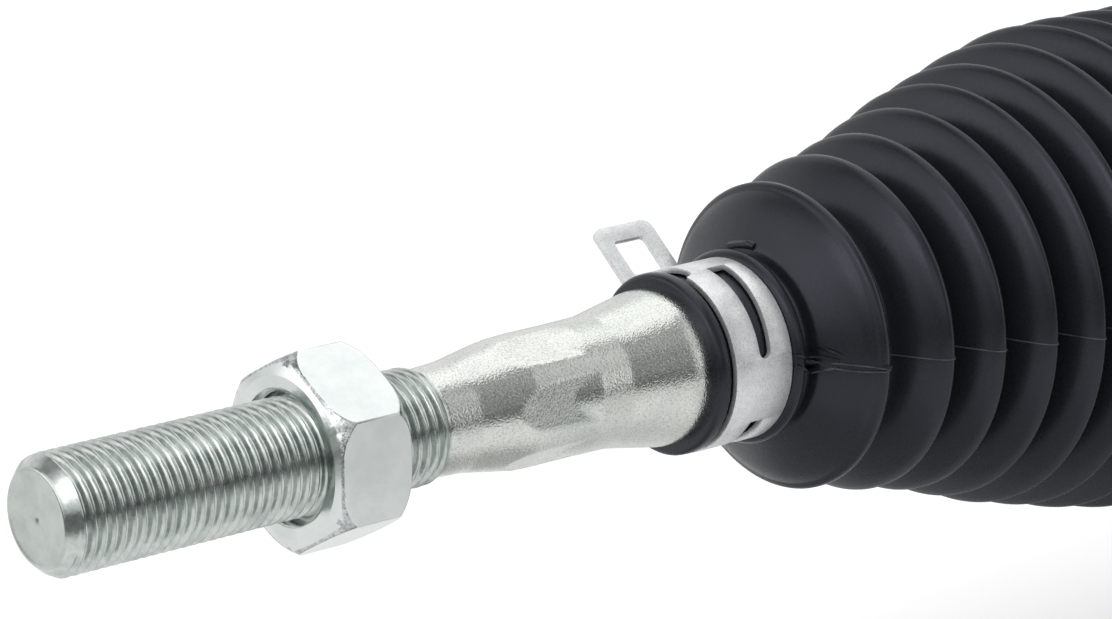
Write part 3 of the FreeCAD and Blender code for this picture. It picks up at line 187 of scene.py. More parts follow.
def cleared(owner: Material | bpy.types.World) -> Tree:
    """Empty the node tree of a material or a world.

    Args:
        owner: The material or the world.

    Returns:
        Its tree.
    """
    owner.use_nodes = True
    owner.node_tree.nodes.clear()
    return owner.node_tree


def maths(tree: Tree, operation: str, *values: object) -> Socket:
    """One arithmetic step on sockets or plain numbers."""
    return add_node(tree, "ShaderNodeMath", dict(enumerate(values)), operation=operation).outputs[0]


def joined(tree: Tree, operation: str, values: Sequence[Socket]) -> Socket:
    """Take several values together, two at a time."""
    return reduce(lambda first, second: maths(tree, operation, first, second), values)


def mapped(
    tree: Tree,
    value: Socket,
    low: float,
    high: float,
    onto: tuple[float, float] = (0.0, 1.0),
    curve: str = "SMOOTHSTEP",
) -> Socket:
    """Map a value from one range onto another, and hold it at the ends.

    Args:
        tree: The node tree.
        value: The value.
        low: Where its range begins.
        high: Where its range ends, which may be below low.
        onto: The new range.
        curve: LINEAR or SMOOTHSTEP.

    Returns:
        The value in the new range.
    """
    links = {"Value": value, "From Min": low, "From Max": high, "To Min": onto[0], "To Max": onto[1]}
    return add_node(tree, "ShaderNodeMapRange", links, interpolation_type=curve).outputs[0]


def zone(
    tree: Tree, strength: float, edges: Sequence[tuple[Socket, float, float]], corners: str = "MINIMUM"
) -> Socket:
    """A zone with soft edges.

    Args:
        tree: The node tree.
        strength: The value inside the zone; it is 0 outside.
        edges: For each edge a value, where it begins to enter the zone and where it is inside.
        corners: How two edges meet, MINIMUM or MULTIPLY.

    Returns:
        The value at every place.
    """
    return maths(tree, "MULTIPLY", joined(tree, corners, [mapped(tree, *edge) for edge in edges]), strength)


def noise(tree: Tree, place: Socket, size_mm: float, detail: float, roughness: float) -> Socket:
    """Noise from 0 to 1 whose coarsest lumps are about size_mm apart."""
    links = {"Vector": place, "Scale": 1.0 / (size_mm * MM), "Detail": detail, "Roughness": roughness}
    return add_node(tree, "ShaderNodeTexNoise", links).outputs["Fac"]


def blended(tree: Tree, share: Socket, first: object, second: object) -> Socket:
    """Mix two colours, each a socket or four numbers."""
    links = {"Factor": share, 6: first, 7: second}
    return add_node(tree, "ShaderNodeMix", links, data_type="RGBA").outputs[2]


def chosen(tree: Tree, share: Socket, first: Node, second: Node) -> Node:
    """Mix two shaders: the first where the share is 0, the second where it is 1."""
    return add_node(tree, "ShaderNodeMixShader", {0: share, 1: first.outputs[0], 2: second.outputs[0]})


def skin(name: str, rings: np.ndarray, loop: bool = False) -> Mesh:
    """Make a closed mesh of rings that follow each other along +X.

    Args:
        name: The mesh's name.
        rings: Points in metres, shaped rings by points round by 3, each ring running from +Z to +Y.
        loop: Join the last ring to the first, instead of closing both with a face.

    Returns:
        The mesh, with its faces pointing outwards.
    """
    count, around = rings.shape[:2]
    rows = count if loop else count - 1
    first = (np.arange(rows)[:, None] * around + np.arange(around)[None, :]).ravel()
    beside = (np.arange(rows)[:, None] * around + (np.arange(around)[None, :] + 1) % around).ravel()
    total = count * around
    faces = np.stack([first, (first + around) % total, (beside + around) % total, beside], axis=1).tolist()
    if not loop:
        faces += [list(range(around)), [total - 1 - k for k in range(around)]]
    mesh = bpy.data.meshes.new(name)
    mesh.from_pydata(rings.reshape(-1, 3).tolist(), [], faces)
    mesh.update()
    return mesh


def revolve(profile: Profile, around: int) -> np.ndarray:
    """Turn a profile about the X axis.

    Args:
        profile: Distance along and radius of each corner in millimetres, as numbers or as arrays with a value
            for each point of the ring.
        around: How many points each ring has.

    Returns:
        Rings of points in metres.
    """
    angles = np.arange(around) * TURN / around
    rings = np.zeros((len(profile), around, 3))
    for ring, (along, radius) in zip(rings, profile):
        ring[:, 0], ring[:, 1], ring[:, 2] = along, radius * np.sin(angles), radius * np.cos(angles)
    return rings * MM


def new_object(name: str, mesh: Mesh) -> Piece:
    """Put a mesh into the scene as an object at the origin.

    Args:
        name: The object's name.
        mesh: The mesh.

    Returns:
        The object.
    """
    made = bpy.data.objects.new(name, mesh)
    bpy.context.scene.collection.objects.link(made)
    return made


def baked(piece: Piece) -> Mesh:
    """Apply every modifier of an object to its mesh.

    Args:
        piece: The object, whose modifiers are then removed.

    Returns:
        The new mesh, which the object now has.
    """
    depsgraph = bpy.context.evaluated_depsgraph_get()
    mesh = bpy.data.meshes.new_from_object(
        piece.evaluated_get(depsgraph), preserve_all_data_layers=True, depsgraph=depsgraph
    )
    piece.modifiers.clear()
    piece.data = mesh
    mesh.name = piece.name
    return mesh


def run_tree(piece: Piece, tree: Tree, values: Mapping[str, object]) -> None:
    """Run a Geometry Nodes tree on an object and keep the result as its plain mesh.

    Args:
        piece: The object.
        tree: The tree.
        values: Input name to value.
    """
    modifier = piece.modifiers.new(tree.name, "NODES")
    modifier.node_group = tree
    for item in tree.interface.items_tree:
        if item.item_type == "SOCKET" and item.in_out == "INPUT" and item.name in values:
            modifier[item.identifier] = values[item.name]
    baked(piece)


def seat_piece(piece: Piece, place: Matrix, material: Material | None, crease: float) -> None:
    """Put a piece's place into its mesh, set its material and its smooth shading, and report it.

    Args:
        piece: The object, which stays at the origin.
        place: Where its mesh belongs in the gear's frame.
        material: The material of the whole piece, or None to keep what it has.
        crease: Edges that turn by more than this many degrees stay sharp.
    """
    mesh = piece.data
    mesh.transform(place)
    if material is not None:
        mesh.materials.clear()
        mesh.materials.append(material)
    mesh.shade_smooth()
    mesh.set_sharp_from_angle(angle=math.radians(crease))
    mesh.update()
    LOG.info("%s: %d faces", piece.name, len(mesh.polygons))


def radial(angle: float) -> Vector:
    """The direction away from the X axis at an angle in degrees, counted from +Z towards +Y."""
    return Vector((0.0, math.sin(math.radians(angle)), math.cos(math.radians(angle))))


def spot(along: float, angle: float, radius: float) -> Vector:
    """A point in metres, from its place along the X axis in millimetres, its angle and its radius."""
    return Vector((along * MM, 0.0, 0.0)) + radial(angle) * radius * MM


def cut_edges(piece: Piece, name: str, width_mm: float, angle: float) -> None:
    """Round the edges of a piece that turn by more than an angle, and bake its modifiers.

    Args:
        piece: The object.
        name: The modifier's name, which says how the real edge got its shape.
        width_mm: How wide the rounded edge is.
        angle: The least turn in degrees.
    """
    bevel = piece.modifiers.new(name, "BEVEL")
    bevel.width, bevel.segments, bevel.limit_method = width_mm * MM, 2, "ANGLE"
    bevel.angle_limit = math.radians(angle)
    baked(piece)


# --- finishes --------------------------------------------------------------------------------------


@dataclass(frozen=True)
class Finish:
    """A solid surface: its two tones, its gloss and the grain that it was made with."""

    # the stretch of a noise's values over which each pattern goes from none to full
    CLOUD_RANGE = (0.38, 0.66)
    PIT_RANGE = (0.46, 0.78)
    GLOSS_RANGE = (0.3, 0.7)

    name: str
    base: str
    tone: str
    tone_mm: float = 6.0
    metallic: float = 0.0
    roughness: float = 0.4
    spread: float = 0.1
    grain_mm: float = 0.4
    grain_height_mm: float = 0.02
    grain_detail: float = 3.0
    lines: Ground = Ground.NONE
    lines_mm: float = 0.3
    lines_height_mm: float = 0.0
    specular: float = 0.5
    gloss_tint: str = "#ffffff"
    fleck: str = ""
    fleck_mm: float = 0.4
    fleck_share: float = 0.5

    def build(self) -> Material:
        """Make the material.

        Returns:
            A material whose patterns all read the piece's own Object coordinates.
        """
        material = bpy.data.materials.new(self.name)
        tree = cleared(material)
        place = add_node(tree, "ShaderNodeTexCoord").outputs["Object"]
        patches = noise(tree, place, self.tone_mm, 4.0, 0.6)
        clouds = mapped(tree, patches, *self.CLOUD_RANGE, curve="LINEAR")
        shade = blended(tree, clouds, linear(self.base), linear(self.tone))
        if self.fleck:
            # small dark pits scattered over the colour
            dots = noise(tree, place, self.fleck_mm, 2.0, 0.55)
            pits = mapped(tree, dots, *self.PIT_RANGE, (0.0, self.fleck_share), "LINEAR")
            shade = blended(tree, pits, shade, linear(self.fleck))
        height, sparkle = self.relief(tree, place)
        dull = (max(0.03, self.roughness - self.spread), min(1.0, self.roughness + self.spread))
        depth = self.grain_height_mm * MM
        bump = add_node(tree, "ShaderNodeBump", {"Strength": 1.0, "Distance": depth, "Height": height})
        shader = add_node(
            tree,
            "ShaderNodeBsdfPrincipled",
            {
                "Base Color": shade,
                "Metallic": self.metallic,
                "Roughness": mapped(tree, sparkle, *self.GLOSS_RANGE, dull, "LINEAR"),
                "Specular IOR Level": self.specular,
                "Specular Tint": linear(self.gloss_tint),
                "Normal": bump.outputs["Normal"],
            },
        )
        add_node(tree, "ShaderNodeOutputMaterial", {"Surface": shader.outputs["BSDF"]})
        return material

    def relief(self, tree: Tree, place: Socket) -> tuple[Socket, Socket]:
        """The surface's height and the pattern that its gloss follows, each from 0 to 1.

        Args:
            tree: The material's tree.
            place: The Object coordinates.

        Returns:
            The height and the gloss pattern.
        """
        grain = noise(tree, place, self.grain_mm, self.grain_detail, 0.6)
        if self.lines is Ground.NONE or self.lines_height_mm <= 0.0:
            return grain, grain
        stretch = [scale / (self.lines_mm * MM) for scale in self.lines.value]
        scaled = add_node(tree, "ShaderNodeMapping", {"Vector": place, "Scale": stretch}).outputs["Vector"]
        links = {"Vector": scaled, "Scale": 1.0, "Detail": 2.0}
        lines = add_node(tree, "ShaderNodeTexNoise", links).outputs["Fac"]
        share = self.lines_height_mm / max(self.grain_height_mm, TINY)
        return maths(tree, "MULTIPLY_ADD", lines, share, grain), lines


# Bright zinc over a forged, scaled skin: pale, with a sandy grain that breaks every reflection up.
FORGED_ZINC = Finish(
    "forged_zinc_plate", "#dadcd7", "#ced3ce", tone_mm=9.0, metallic=1.0, roughness=0.18, spread=0.05,
    grain_mm=0.3, grain_height_mm=0.05, grain_detail=1.0, fleck="#6f7472", fleck_mm=0.27, fleck_share=0.5,
)
# Bright zinc over a rolled thread: smoother, streaked by the rolling.
ROLLED_ZINC = Finish(
    "rolled_thread_zinc_plate", "#c9cecb", "#aab2af", tone_mm=2.5, metallic=1.0, roughness=0.21, spread=0.05,
    grain_mm=0.5, grain_height_mm=0.012,
)
# Bright zinc over a cold-formed nut: smooth and almost white, with faint clouds.
NUT_ZINC = Finish(
    "cold_formed_zinc_plate", "#d7dbd9", "#cbd1d0", tone_mm=5.0, metallic=1.0, roughness=0.17, spread=0.04,
    grain_mm=0.45, grain_height_mm=0.012,
)
# The rim of the nut's ends under the same plating: torn by the die, so that it is rough and speckled; its darker
# tone is also painted shade for the dark surroundings that its corners reflect.
STRUCK_ZINC_AND_PAINTED_SHADE = Finish(
    "die_struck_zinc_with_painted_shade", "#cfd3d2", "#a3a7a9", tone_mm=1.2, metallic=1.0, roughness=0.2, spread=0.1,
    grain_mm=0.35, grain_height_mm=0.035, grain_detail=1.0, fleck="#2f3134", fleck_mm=0.3, fleck_share=0.5,
)
# Zinc-flake coat on rolled strip: satin, speckled, a touch darker than the plating.
STRIP_ZINC = Finish(
    "zinc_flake_strip", "#f1f3f3", "#dfe2e3", tone_mm=2.4, metallic=0.66, roughness=0.38, spread=0.12,
    grain_mm=0.32, grain_height_mm=0.035, fleck="#6d7173", fleck_mm=0.24, fleck_share=0.4,
)
# The sawn and chamfered end of the thread: fine rings from the tool.
FACED_ZINC = Finish(
    "faced_end_zinc_plate", "#bfc5c1", "#b1b8b4", tone_mm=3.0, metallic=1.0, roughness=0.2, spread=0.05,
    grain_mm=0.5, grain_height_mm=0.012,
)
# Moulded chloroprene: near black and blue-grey, smooth with a soft sheen.
BELLOWS_RUBBER = Finish(
    "moulded_bellows_rubber", "#1d1e22", "#212226", tone_mm=14.0, roughness=0.29, spread=0.05,
    grain_mm=0.5, grain_height_mm=0.01, specular=0.42, gloss_tint="#e6e9fd",
)
# The lips where the mould's halves met: the same rubber in a paler colour, a painted highlight for the light that
# the seam's edge catches.
SEAM_LIP_PAINTED_HIGHLIGHT = Finish(
    "mould_seam_lip_painted_highlight", "#55565c", "#3a3b40", tone_mm=3.0, roughness=0.3, spread=0.05,
    grain_mm=0.5, grain_height_mm=0.005, specular=0.6, gloss_tint="#e6e9fd",
)
# Natural rubber bushes: black and matt, with a dry bloom.
MOUNT_RUBBER = Finish(
    "moulded_mount_rubber", "#232325", "#2b2b2d", tone_mm=6.0, roughness=0.62, spread=0.08,
    grain_mm=0.6, grain_height_mm=0.05,
)
# Die-cast aluminium, shot-blasted: matt, light grey, evenly pitted.
CAST_ALUMINIUM = Finish(
    "shot_blasted_cast_aluminium", "#b9bcbe", "#b0b3b6", tone_mm=9.0, metallic=1.0, roughness=0.52,
    spread=0.08, grain_mm=0.7, grain_height_mm=0.09,
)
# Turned aluminium: light, with fine rings round its axis.
MACHINED_ALUMINIUM = Finish(
    "machined_aluminium", "#c6c9cc", "#babdc0", tone_mm=8.0, metallic=1.0, roughness=0.3, spread=0.06,
    grain_mm=0.4, grain_height_mm=0.01, lines=Ground.TURNED, lines_mm=0.3, lines_height_mm=0.01,
)
# Induction-hardened and ground bar: mirror-like along its length.
GROUND_STEEL = Finish(
    "ground_steel_bar", "#bfc1c4", "#b4b6ba", tone_mm=20.0, metallic=1.0, roughness=0.18, spread=0.05,
    grain_mm=0.4, grain_height_mm=0.006, lines=Ground.TURNED, lines_mm=0.25, lines_height_mm=0.006,
)
# Honed and polished bearing steel: the brightest mirror of the gear.
BEARING_STEEL = Finish(
    "polished_bearing_steel", "#c4c6c9", "#bcbec2", tone_mm=12.0, metallic=1.0, roughness=0.14, spread=0.03,
    grain_mm=0.4, grain_height_mm=0.003,
)
# Phosphated and oiled steel: dark grey, crystalline, with oily patches.
PHOSPHATED_STEEL = Finish(
    "phosphated_steel", "#46484a", "#37393b", tone_mm=4.0, metallic=0.85, roughness=0.5, spread=0.12,
    grain_mm=0.3, grain_height_mm=0.03,
)
# Zinc plate on turned and pressed parts: pale with a soft gloss.
PLATED_STEEL = Finish(
    "bright_zinc_plated_steel", "#d0d3d1", "#bfc4c3", tone_mm=5.0, metallic=1.0, roughness=0.3, spread=0.07,
    grain_mm=0.45, grain_height_mm=0.02,
)
# Oil-tempered wire: grey, drawn along its length.
SPRING_STEEL = Finish(
    "oiled_spring_steel", "#6b6d70", "#585a5e", tone_mm=3.0, metallic=1.0, roughness=0.34, spread=0.08,
    grain_mm=0.3, grain_height_mm=0.01, lines=Ground.LENGTHWISE, lines_mm=0.3, lines_height_mm=0.01,
)
# Undyed plastic: creamy white with a waxy gloss.
NATURAL_ACETAL = Finish(
    "natural_acetal", "#e3dfd2", "#d8d4c6", tone_mm=6.0, roughness=0.36, spread=0.05,
    grain_mm=0.6, grain_height_mm=0.008,
)
# Plastic with a dry lubricant in it: dark green-grey and duller.
FILLED_ACETAL = Finish(
    "filled_acetal", "#34433f", "#2b3835", tone_mm=5.0, roughness=0.46, spread=0.06,
    grain_mm=0.5, grain_height_mm=0.012,
)
# Porous bronze: brown-gold and dull.
SINTERED_BRONZE = Finish(
    "sintered_bronze_liner", "#8f734a", "#7b6240", tone_mm=2.0, metallic=0.8, roughness=0.48, spread=0.1,
    grain_mm=0.3, grain_height_mm=0.03,
)

SLOT_FINISHES: dict[str, Finish] = {
    "cast_aluminium": CAST_ALUMINIUM,
    "zinc_steel": PLATED_STEEL,
    "ground_steel": GROUND_STEEL,
    "bearing_steel": BEARING_STEEL,
    "phosphated_steel": PHOSPHATED_STEEL,
    "black_rubber": BELLOWS_RUBBER,
    "mount_rubber": MOUNT_RUBBER,
    "seat_plastic": NATURAL_ACETAL,
    "bush_plastic": FILLED_ACETAL,
    "spring_steel": SPRING_STEEL,
    "yoke_aluminium": MACHINED_ALUMINIUM,
    "liner_bronze": SINTERED_BRONZE,
}


class Paintbox:
    """Builds each finish once and hands its material out."""

    def __init__(self) -> None:
        """Start with no materials."""
        self.made: dict[str, Material] = {}

    def get(self, finish: Finish) -> Material:
        """The material of a finish.

        Args:
            finish: The finish.

        Returns:
            Its material, made on the first call.
        """
        if finish.name not in self.made:
            self.made[finish.name] = finish.build()
        return self.made[finish.name]

    def dress_nodes(self) -> None:
        """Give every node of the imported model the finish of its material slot."""
        for part in frame["record"]["subparts"]:
            node = frame["nodes"][part["node"]]
            material = self.get(SLOT_FINISHES[part["material_slot"]])
            for slot in node.material_slots:
                slot.material = material


# --- geometry node trees ---------------------------------------------------------------------------


class TurnedTree:
    """A Geometry Nodes tree that changes the radius of each point of a turned piece along X."""

    def __init__(self, name: str, numbers: Sequence[str]) -> None:
        """Make the tree's inputs and read each point's place.

        Args:
            name: The tree's name.
            numbers: The names of its number inputs.
        """
        self.tree = bpy.data.node_groups.new(name, "GeometryNodeTree")
        sockets = [("Geometry", "INPUT", "Geometry"), *[(label, "INPUT", "Float") for label in numbers]]
        sockets += [("Material", "INPUT", "Material"), ("Geometry", "OUTPUT", "Geometry")]
        for label, way, kind in sockets:
            self.tree.interface.new_socket(label, in_out=way, socket_type=f"NodeSocket{kind}")
        self.given = add_node(self.tree, "NodeGroupInput").outputs
        self.point = add_node(self.tree, "GeometryNodeInputPosition").outputs[0]
        self.x, self.y, self.z = add_node(self.tree, "ShaderNodeSeparateXYZ", {0: self.point}).outputs
        squares = self.maths("MULTIPLY_ADD", self.y, self.y, self.maths("MULTIPLY", self.z, self.z))
        self.radius = self.maths("SQRT", squares)

    def maths(self, operation: str, *values: object) -> Socket:
        """One arithmetic step in this tree."""
        return maths(self.tree, operation, *values)

    def close(self, radius: Socket) -> None:
        """Move each point to its new radius, set the material and finish the tree.

        Args:
            radius: The new radius.
        """
        share = self.maths("DIVIDE", radius, self.maths("MAXIMUM", self.radius, TINY))
        y, z = self.maths("MULTIPLY", self.y, share), self.maths("MULTIPLY", self.z, share)
        moved = add_node(self.tree, "ShaderNodeCombineXYZ", {0: self.x, 1: y, 2: z}).outputs[0]
        links = {"Geometry": self.given["Geometry"], "Position": moved}
        placed = add_node(self.tree, "GeometryNodeSetPosition", links)
        real = add_node(self.tree, "GeometryNodeRealizeInstances", {"Geometry": placed.outputs[0]})
        links = {"Geometry": real.outputs[0], "Material": self.given["Material"]}
        painted = add_node(self.tree, "GeometryNodeSetMaterial", links)
        add_node(self.tree, "NodeGroupOutput", {"Geometry": painted.outputs[0]})


class RidgeTree(TurnedTree):
    """A tree that rolls ridges into a turned surface: a thread's helix or a shaft's serrations."""

    def __init__(self) -> None:
        """Build the tree."""
        numbers = ("Waves per Metre", "Waves Round", "Crest Radius", "Depth", "From", "To", "Run-out")
        super().__init__("rolled_ridges", numbers)
        step, given = self.maths, self.given
        angle = step("ARCTAN2", self.y, self.z)
        turns = step("MULTIPLY", step("DIVIDE", angle, TURN), given["Waves Round"])
        phase = step("FRACT", step("MULTIPLY_ADD", self.x, given["Waves per Metre"], turns))
        crest = step("MULTIPLY", step("ABSOLUTE", step("SUBTRACT", phase, 0.5)), 2.0)
        wave = mapped(self.tree, crest, 0.05, 0.98)
        fades = []
        for way in (("SUBTRACT", self.x, given["From"]), ("SUBTRACT", given["To"], self.x)):
            fades.append(mapped(self.tree, step("DIVIDE", step(*way), given["Run-out"]), 0.0, 1.0))
        fade = step("MULTIPLY", *fades)
        cut = step("MULTIPLY", step("MULTIPLY", given["Depth"], fade), step("SUBTRACT", 1.0, wave))
        target = step("SUBTRACT", given["Crest Radius"], cut)
        lower = step("MINIMUM", self.radius, step("MAXIMUM", target, 0.0))
        # outside the ridges' length the surface stays as it was turned
        cut_here = step("GREATER_THAN", fade, 0.0001)
        kept = step("MULTIPLY", self.radius, step("SUBTRACT", 1.0, cut_here))
        self.close(step("ADD", step("MULTIPLY", lower, cut_here), kept))


class FoldTree(TurnedTree):
    """A tree that presses the grooves into a bellows' smooth envelope, one between each two crests."""

    # share of the way from crest to crest, and share of the groove's depth: a thick rounded crest, straight
    # walls and a rounded root
    GROOVE = (
        (0.0, 0.0), (0.055, 0.018), (0.1, 0.07), (0.15, 0.165), (0.3, 0.52), (0.42, 0.86), (0.5, 1.0),
        (0.58, 0.86), (0.7, 0.52), (0.85, 0.165), (0.9, 0.07), (0.945, 0.018), (1.0, 0.0),
    )

    def __init__(self) -> None:
        """Build the tree."""
        super().__init__("bellows_folds", ("Wobble",))
        step = self.maths
        phase = step("FRACT", self.stored("fold_phase"))
        shape = add_node(self.tree, "ShaderNodeFloatCurve", {"Value": phase})
        curve = shape.mapping.curves[0]
        curve.points[0].location, curve.points[1].location = self.GROOVE[0], self.GROOVE[-1]
        for bend in self.GROOVE[1:-1]:
            curve.points.new(*bend)
        shape.mapping.update()
        depth = step("MULTIPLY", self.stored("fold_depth"), shape.outputs[0])
        # real rubber is a little uneven
        links = {"Vector": self.point, "Scale": 28.0, "Detail": 1.0}
        lumps = add_node(self.tree, "ShaderNodeTexNoise", links)
        wobble = step("MULTIPLY", step("SUBTRACT", lumps.outputs[0], 0.5), self.given["Wobble"])
        cut = step("SUBTRACT", depth, step("MULTIPLY", wobble, self.stored("fold_free")))
        self.close(step("SUBTRACT", self.radius, cut))

    def stored(self, name: str) -> Socket:
        """A number stored on each point of the envelope."""
        links = {"Name": name}
        return add_node(self.tree, "GeometryNodeInputNamedAttribute", links, data_type="FLOAT").outputs[0]


# --- the tie rod and its nut -----------------------------------------------------------------------


@dataclass
class TieRod:
    """A tie rod: faced tip, rolled thread, and a forging with a pressed hexagon grip and a ball."""

    paint: Paintbox
    ridges: RidgeTree
    thread_radius: float = 8.0
    thread_pitch: float = 1.5
    thread_depth: float = 0.86
    thread_start: float = 0.6
    thread_end: float = 59.5
    thread_run_out: float = 1.4
    waist_radius: float = 7.2
    tip_radius: float = 6.35
    tip_chamfer: float = 1.75
    around: int = 128
    grip_flats: float = 17.0
    grip_cone_start: float = 80.3
    grip_cone_slope: float = 0.136
    grip_angle: float = -22.0
    grip_reach: tuple[float, float] = (64.0, 92.0)
    ball_at: float = 176.0
    ball_radius: float = 13.0
    neck_radius: float = 6.5
    forging: Profile = (
        (58.6, 7.2), (60.2, 7.35), (65.5, 7.58), (74.2, 9.0), (77.0, 9.1), (86.0, 9.13), (90.3, 9.2),
        (99.7, 10.85), (100.6, 10.9), (103.0, 10.9),
    )
    bellows_seat: Profile = (
        (103.4, 10.75), (103.6, 10.0), (117.0, 10.0), (117.8, 10.6), (119.4, 9.3), (121.0, 8.2),
    )
    shank_radius: float = 8.2

    def build(self, side: Side) -> None:
        """Build and place one tie rod.

        Args:
            side: Which end of the gear.
        """
        zones = (self.tip_line(), self.thread_line(), self.forging_line())
        rings = revolve([point for zone in zones for point in zone], self.around)
        self.press_grip(rings)
        piece = new_object(f"tie_rod_{side.value}_forging", skin("tie_rod", rings))
        finishes = [self.paint.get(finish) for finish in (FACED_ZINC, ROLLED_ZINC, FORGED_ZINC)]
        values = {
            "Waves per Metre": 1.0 / (self.thread_pitch * MM),
            "Waves Round": 1.0,
            "Crest Radius": self.thread_radius * MM,
            "Depth": self.thread_depth * MM,
            "From": self.thread_start * MM,
            "To": self.thread_end * MM,
            "Run-out": self.thread_run_out * MM,
            "Material": finishes[1],
        }
        run_tree(piece, self.ridges.tree, values)
        seat_piece(piece, side.place(), None, crease=45.0)
        mesh = piece.data
        mesh.materials.clear()
        for finish in finishes:
            mesh.materials.append(finish)
        # one finish for each zone; the last two faces close the tip and the ball
        ends = np.cumsum([len(zone) for zone in zones])
        rows = np.arange(len(mesh.polygons)) // self.around
        indices = np.searchsorted(ends[:2], rows, side="right")
        indices[-2:] = (0, 2)
        mesh.polygons.foreach_set("material_index", indices.astype(np.int32))
        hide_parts(f"tie_rod_{side.value}")
        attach(piece, side.rod_body)

    def tip_line(self) -> Profile:
        """The faced end.

        Returns:
            Its places and radii: a centre pip, the tool's shallow rings and a broken edge.
        """
        line = [(0.50, 0.05), (0.49, 0.25), (0.40, 0.5)]
        for k in range(13):
            line.append((0.34 + 0.022 * (-1) ** k - 0.022 * k, 0.95 + k * 0.39))
        return [*line, (0.02, 5.9), (0.0, 6.1), (0.02, 6.26), (0.1, 6.4)]

    def thread_line(self) -> Profile:
        """The thread's outside.

        Returns:
            Its places and radii, from the chamfer to the waist behind it.
        """
        stations = np.arange(0.25, self.thread_end + 0.6, self.thread_pitch / 12)
        cone = self.tip_radius + stations * (self.thread_radius - self.tip_radius) / self.tip_chamfer
        ends = (self.thread_end - 0.6, self.thread_end + 0.5)
        waist = np.interp(stations, ends, (self.thread_radius, self.waist_radius))
        radii = np.minimum(cone, waist)
        return list(zip(stations, radii))

    def forging_line(self) -> Profile:
        """The forged shank.

        Returns:
            Its places and radii, from behind the thread to the ball.
        """
        marks, sizes = zip(*self.forging)
        stations = np.arange(self.thread_end + 0.7, marks[-1], 0.3)
        # the dies leave no sharp corner, so the line is rounded with a bell curve
        spread = np.arange(-8, 9) * 0.1
        kernel = np.exp(-0.5 * (spread / 0.25) ** 2)
        smooth = [np.interp(s + spread, marks, sizes) @ kernel / kernel.sum() for s in stations]
        line = list(zip(stations, smooth))
        line += self.bellows_seat
        line += [(k, self.shank_radius) for k in np.linspace(124.0, 142.0, 6)]
        line += [(147.0, 7.3), (152.0, self.neck_radius)]
        throat = math.asin(self.neck_radius / self.ball_radius)
        for angle in np.linspace(throat, math.pi - 0.04, 28):
            across, along = self.ball_radius * math.sin(angle), self.ball_radius * math.cos(angle)
            line.append((self.ball_at - along, across))
        return line

    def press_grip(self, rings: np.ndarray) -> None:
        """Press the six flats of the grip into the rings; the die's own cone ends them.

        Args:
            rings: The rod's rings in metres, changed in place.
        """
        along = rings[:, :, 0] / MM
        radius = np.hypot(rings[:, :, 1], rings[:, :, 2]) / MM
        angle = np.degrees(np.arctan2(rings[:, :, 1], rings[:, :, 2])) - self.grip_angle
        off = np.radians((angle + 30.0) % 60.0 - 30.0)
        cone = self.grip_flats / 2 + (along - self.grip_cone_start) * self.grip_cone_slope
        flat = np.maximum(self.grip_flats / 2 / np.cos(off), cone)
        inside = (along > self.grip_reach[0]) & (along < self.grip_reach[1])
        pressed = np.where(inside, np.minimum(radius, flat), radius)
        share = pressed / np.maximum(radius, TINY)
        rings[:, :, 1] *= share
        rings[:, :, 2] *= share


@dataclass
class LockNut:
    """The hexagon nut that locks the outer tie-rod end."""

    paint: Paintbox
    at: float = 38.3
    height: float = 12.0
    flats: float = 24.0
    land: float = 10.8
    cone_slope: float = 0.33
    corner_curve: float = 0.45
    bore: float = 7.55
    countersink: float = 9.05
    countersink_depth: float = 1.6
    rim: float = 0.4
    worn_edge: float = 0.22
    around: int = 180

    def chamfer(self, radius: np.ndarray) -> np.ndarray:
        """How far the cold-formed end falls away at a radius: a shallow cone, then rounded corners."""
        beyond = np.maximum(radius - self.flats / 2, 0.0)
        return self.cone_slope * (radius - self.land) + self.corner_curve * beyond**2

    def hexagon(self, angles: np.ndarray) -> np.ndarray:
        """The flats' radius at each angle, with corners at the top and the bottom."""
        sector = math.radians(60.0)
        return self.flats / 2 / np.cos(angles % sector - sector / 2)

    def coat(self, mesh: Mesh) -> None:
        """Give the nut its plating, and the rim of its two ends the die's torn look and a painted shade.

        Args:
            mesh: The nut, still along X.
        """
        for finish in (NUT_ZINC, STRUCK_ZINC_AND_PAINTED_SHADE):
            mesh.materials.append(self.paint.get(finish))
        for face in mesh.polygons:
            _, y, z = face.center / MM
            radius = math.hypot(y, z)
            rim = self.hexagon(np.array([math.atan2(y, z)]))[0] - self.rim
            # the rim at the corners takes the darker finish: die-torn speckle and painted shade
            torn_and_shaded = radius > min(rim, self.flats / 2 + self.rim) and abs(face.normal.x) > 0.3
            face.material_index = int(torn_and_shaded)

    def build(self, side: Side) -> None:
        """Build and place one nut.

        Args:
            side: Which end of the gear.
        """
        hexagon = self.hexagon(np.arange(self.around) * TURN / self.around)
        # depth from the end and radius, from the bore out to the hexagon
        ends = [(3.0, self.bore), (self.countersink_depth, self.bore), (0.12, self.countersink)]
        ends += [(0.0, self.countersink + 0.12), (0.0, self.land)]
        for share in (0.2, 0.45, 0.7, 0.88, 1.0):
            radius = self.land + share * (hexagon - self.land)
            ends.append((self.chamfer(radius), radius))
        front = [(self.at + depth, radius) for depth, radius in ends]
        back = [(self.at + self.height - depth, radius) for depth, radius in reversed(ends)]
        rings = revolve(front + back, self.around)
        piece = new_object(f"lock_nut_{side.value}", skin("nut", rings, loop=True))
        cut_edges(piece, "worn_edges", self.worn_edge, angle=28.0)
        self.coat(piece.data)
        seat_piece(piece, side.place(), None, crease=12.0)
        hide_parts(f"tie_rod_lock_nut_{side.value}")
        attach(piece, side.rod_body)


# --- the bellows -----------------------------------------------------------------------------------


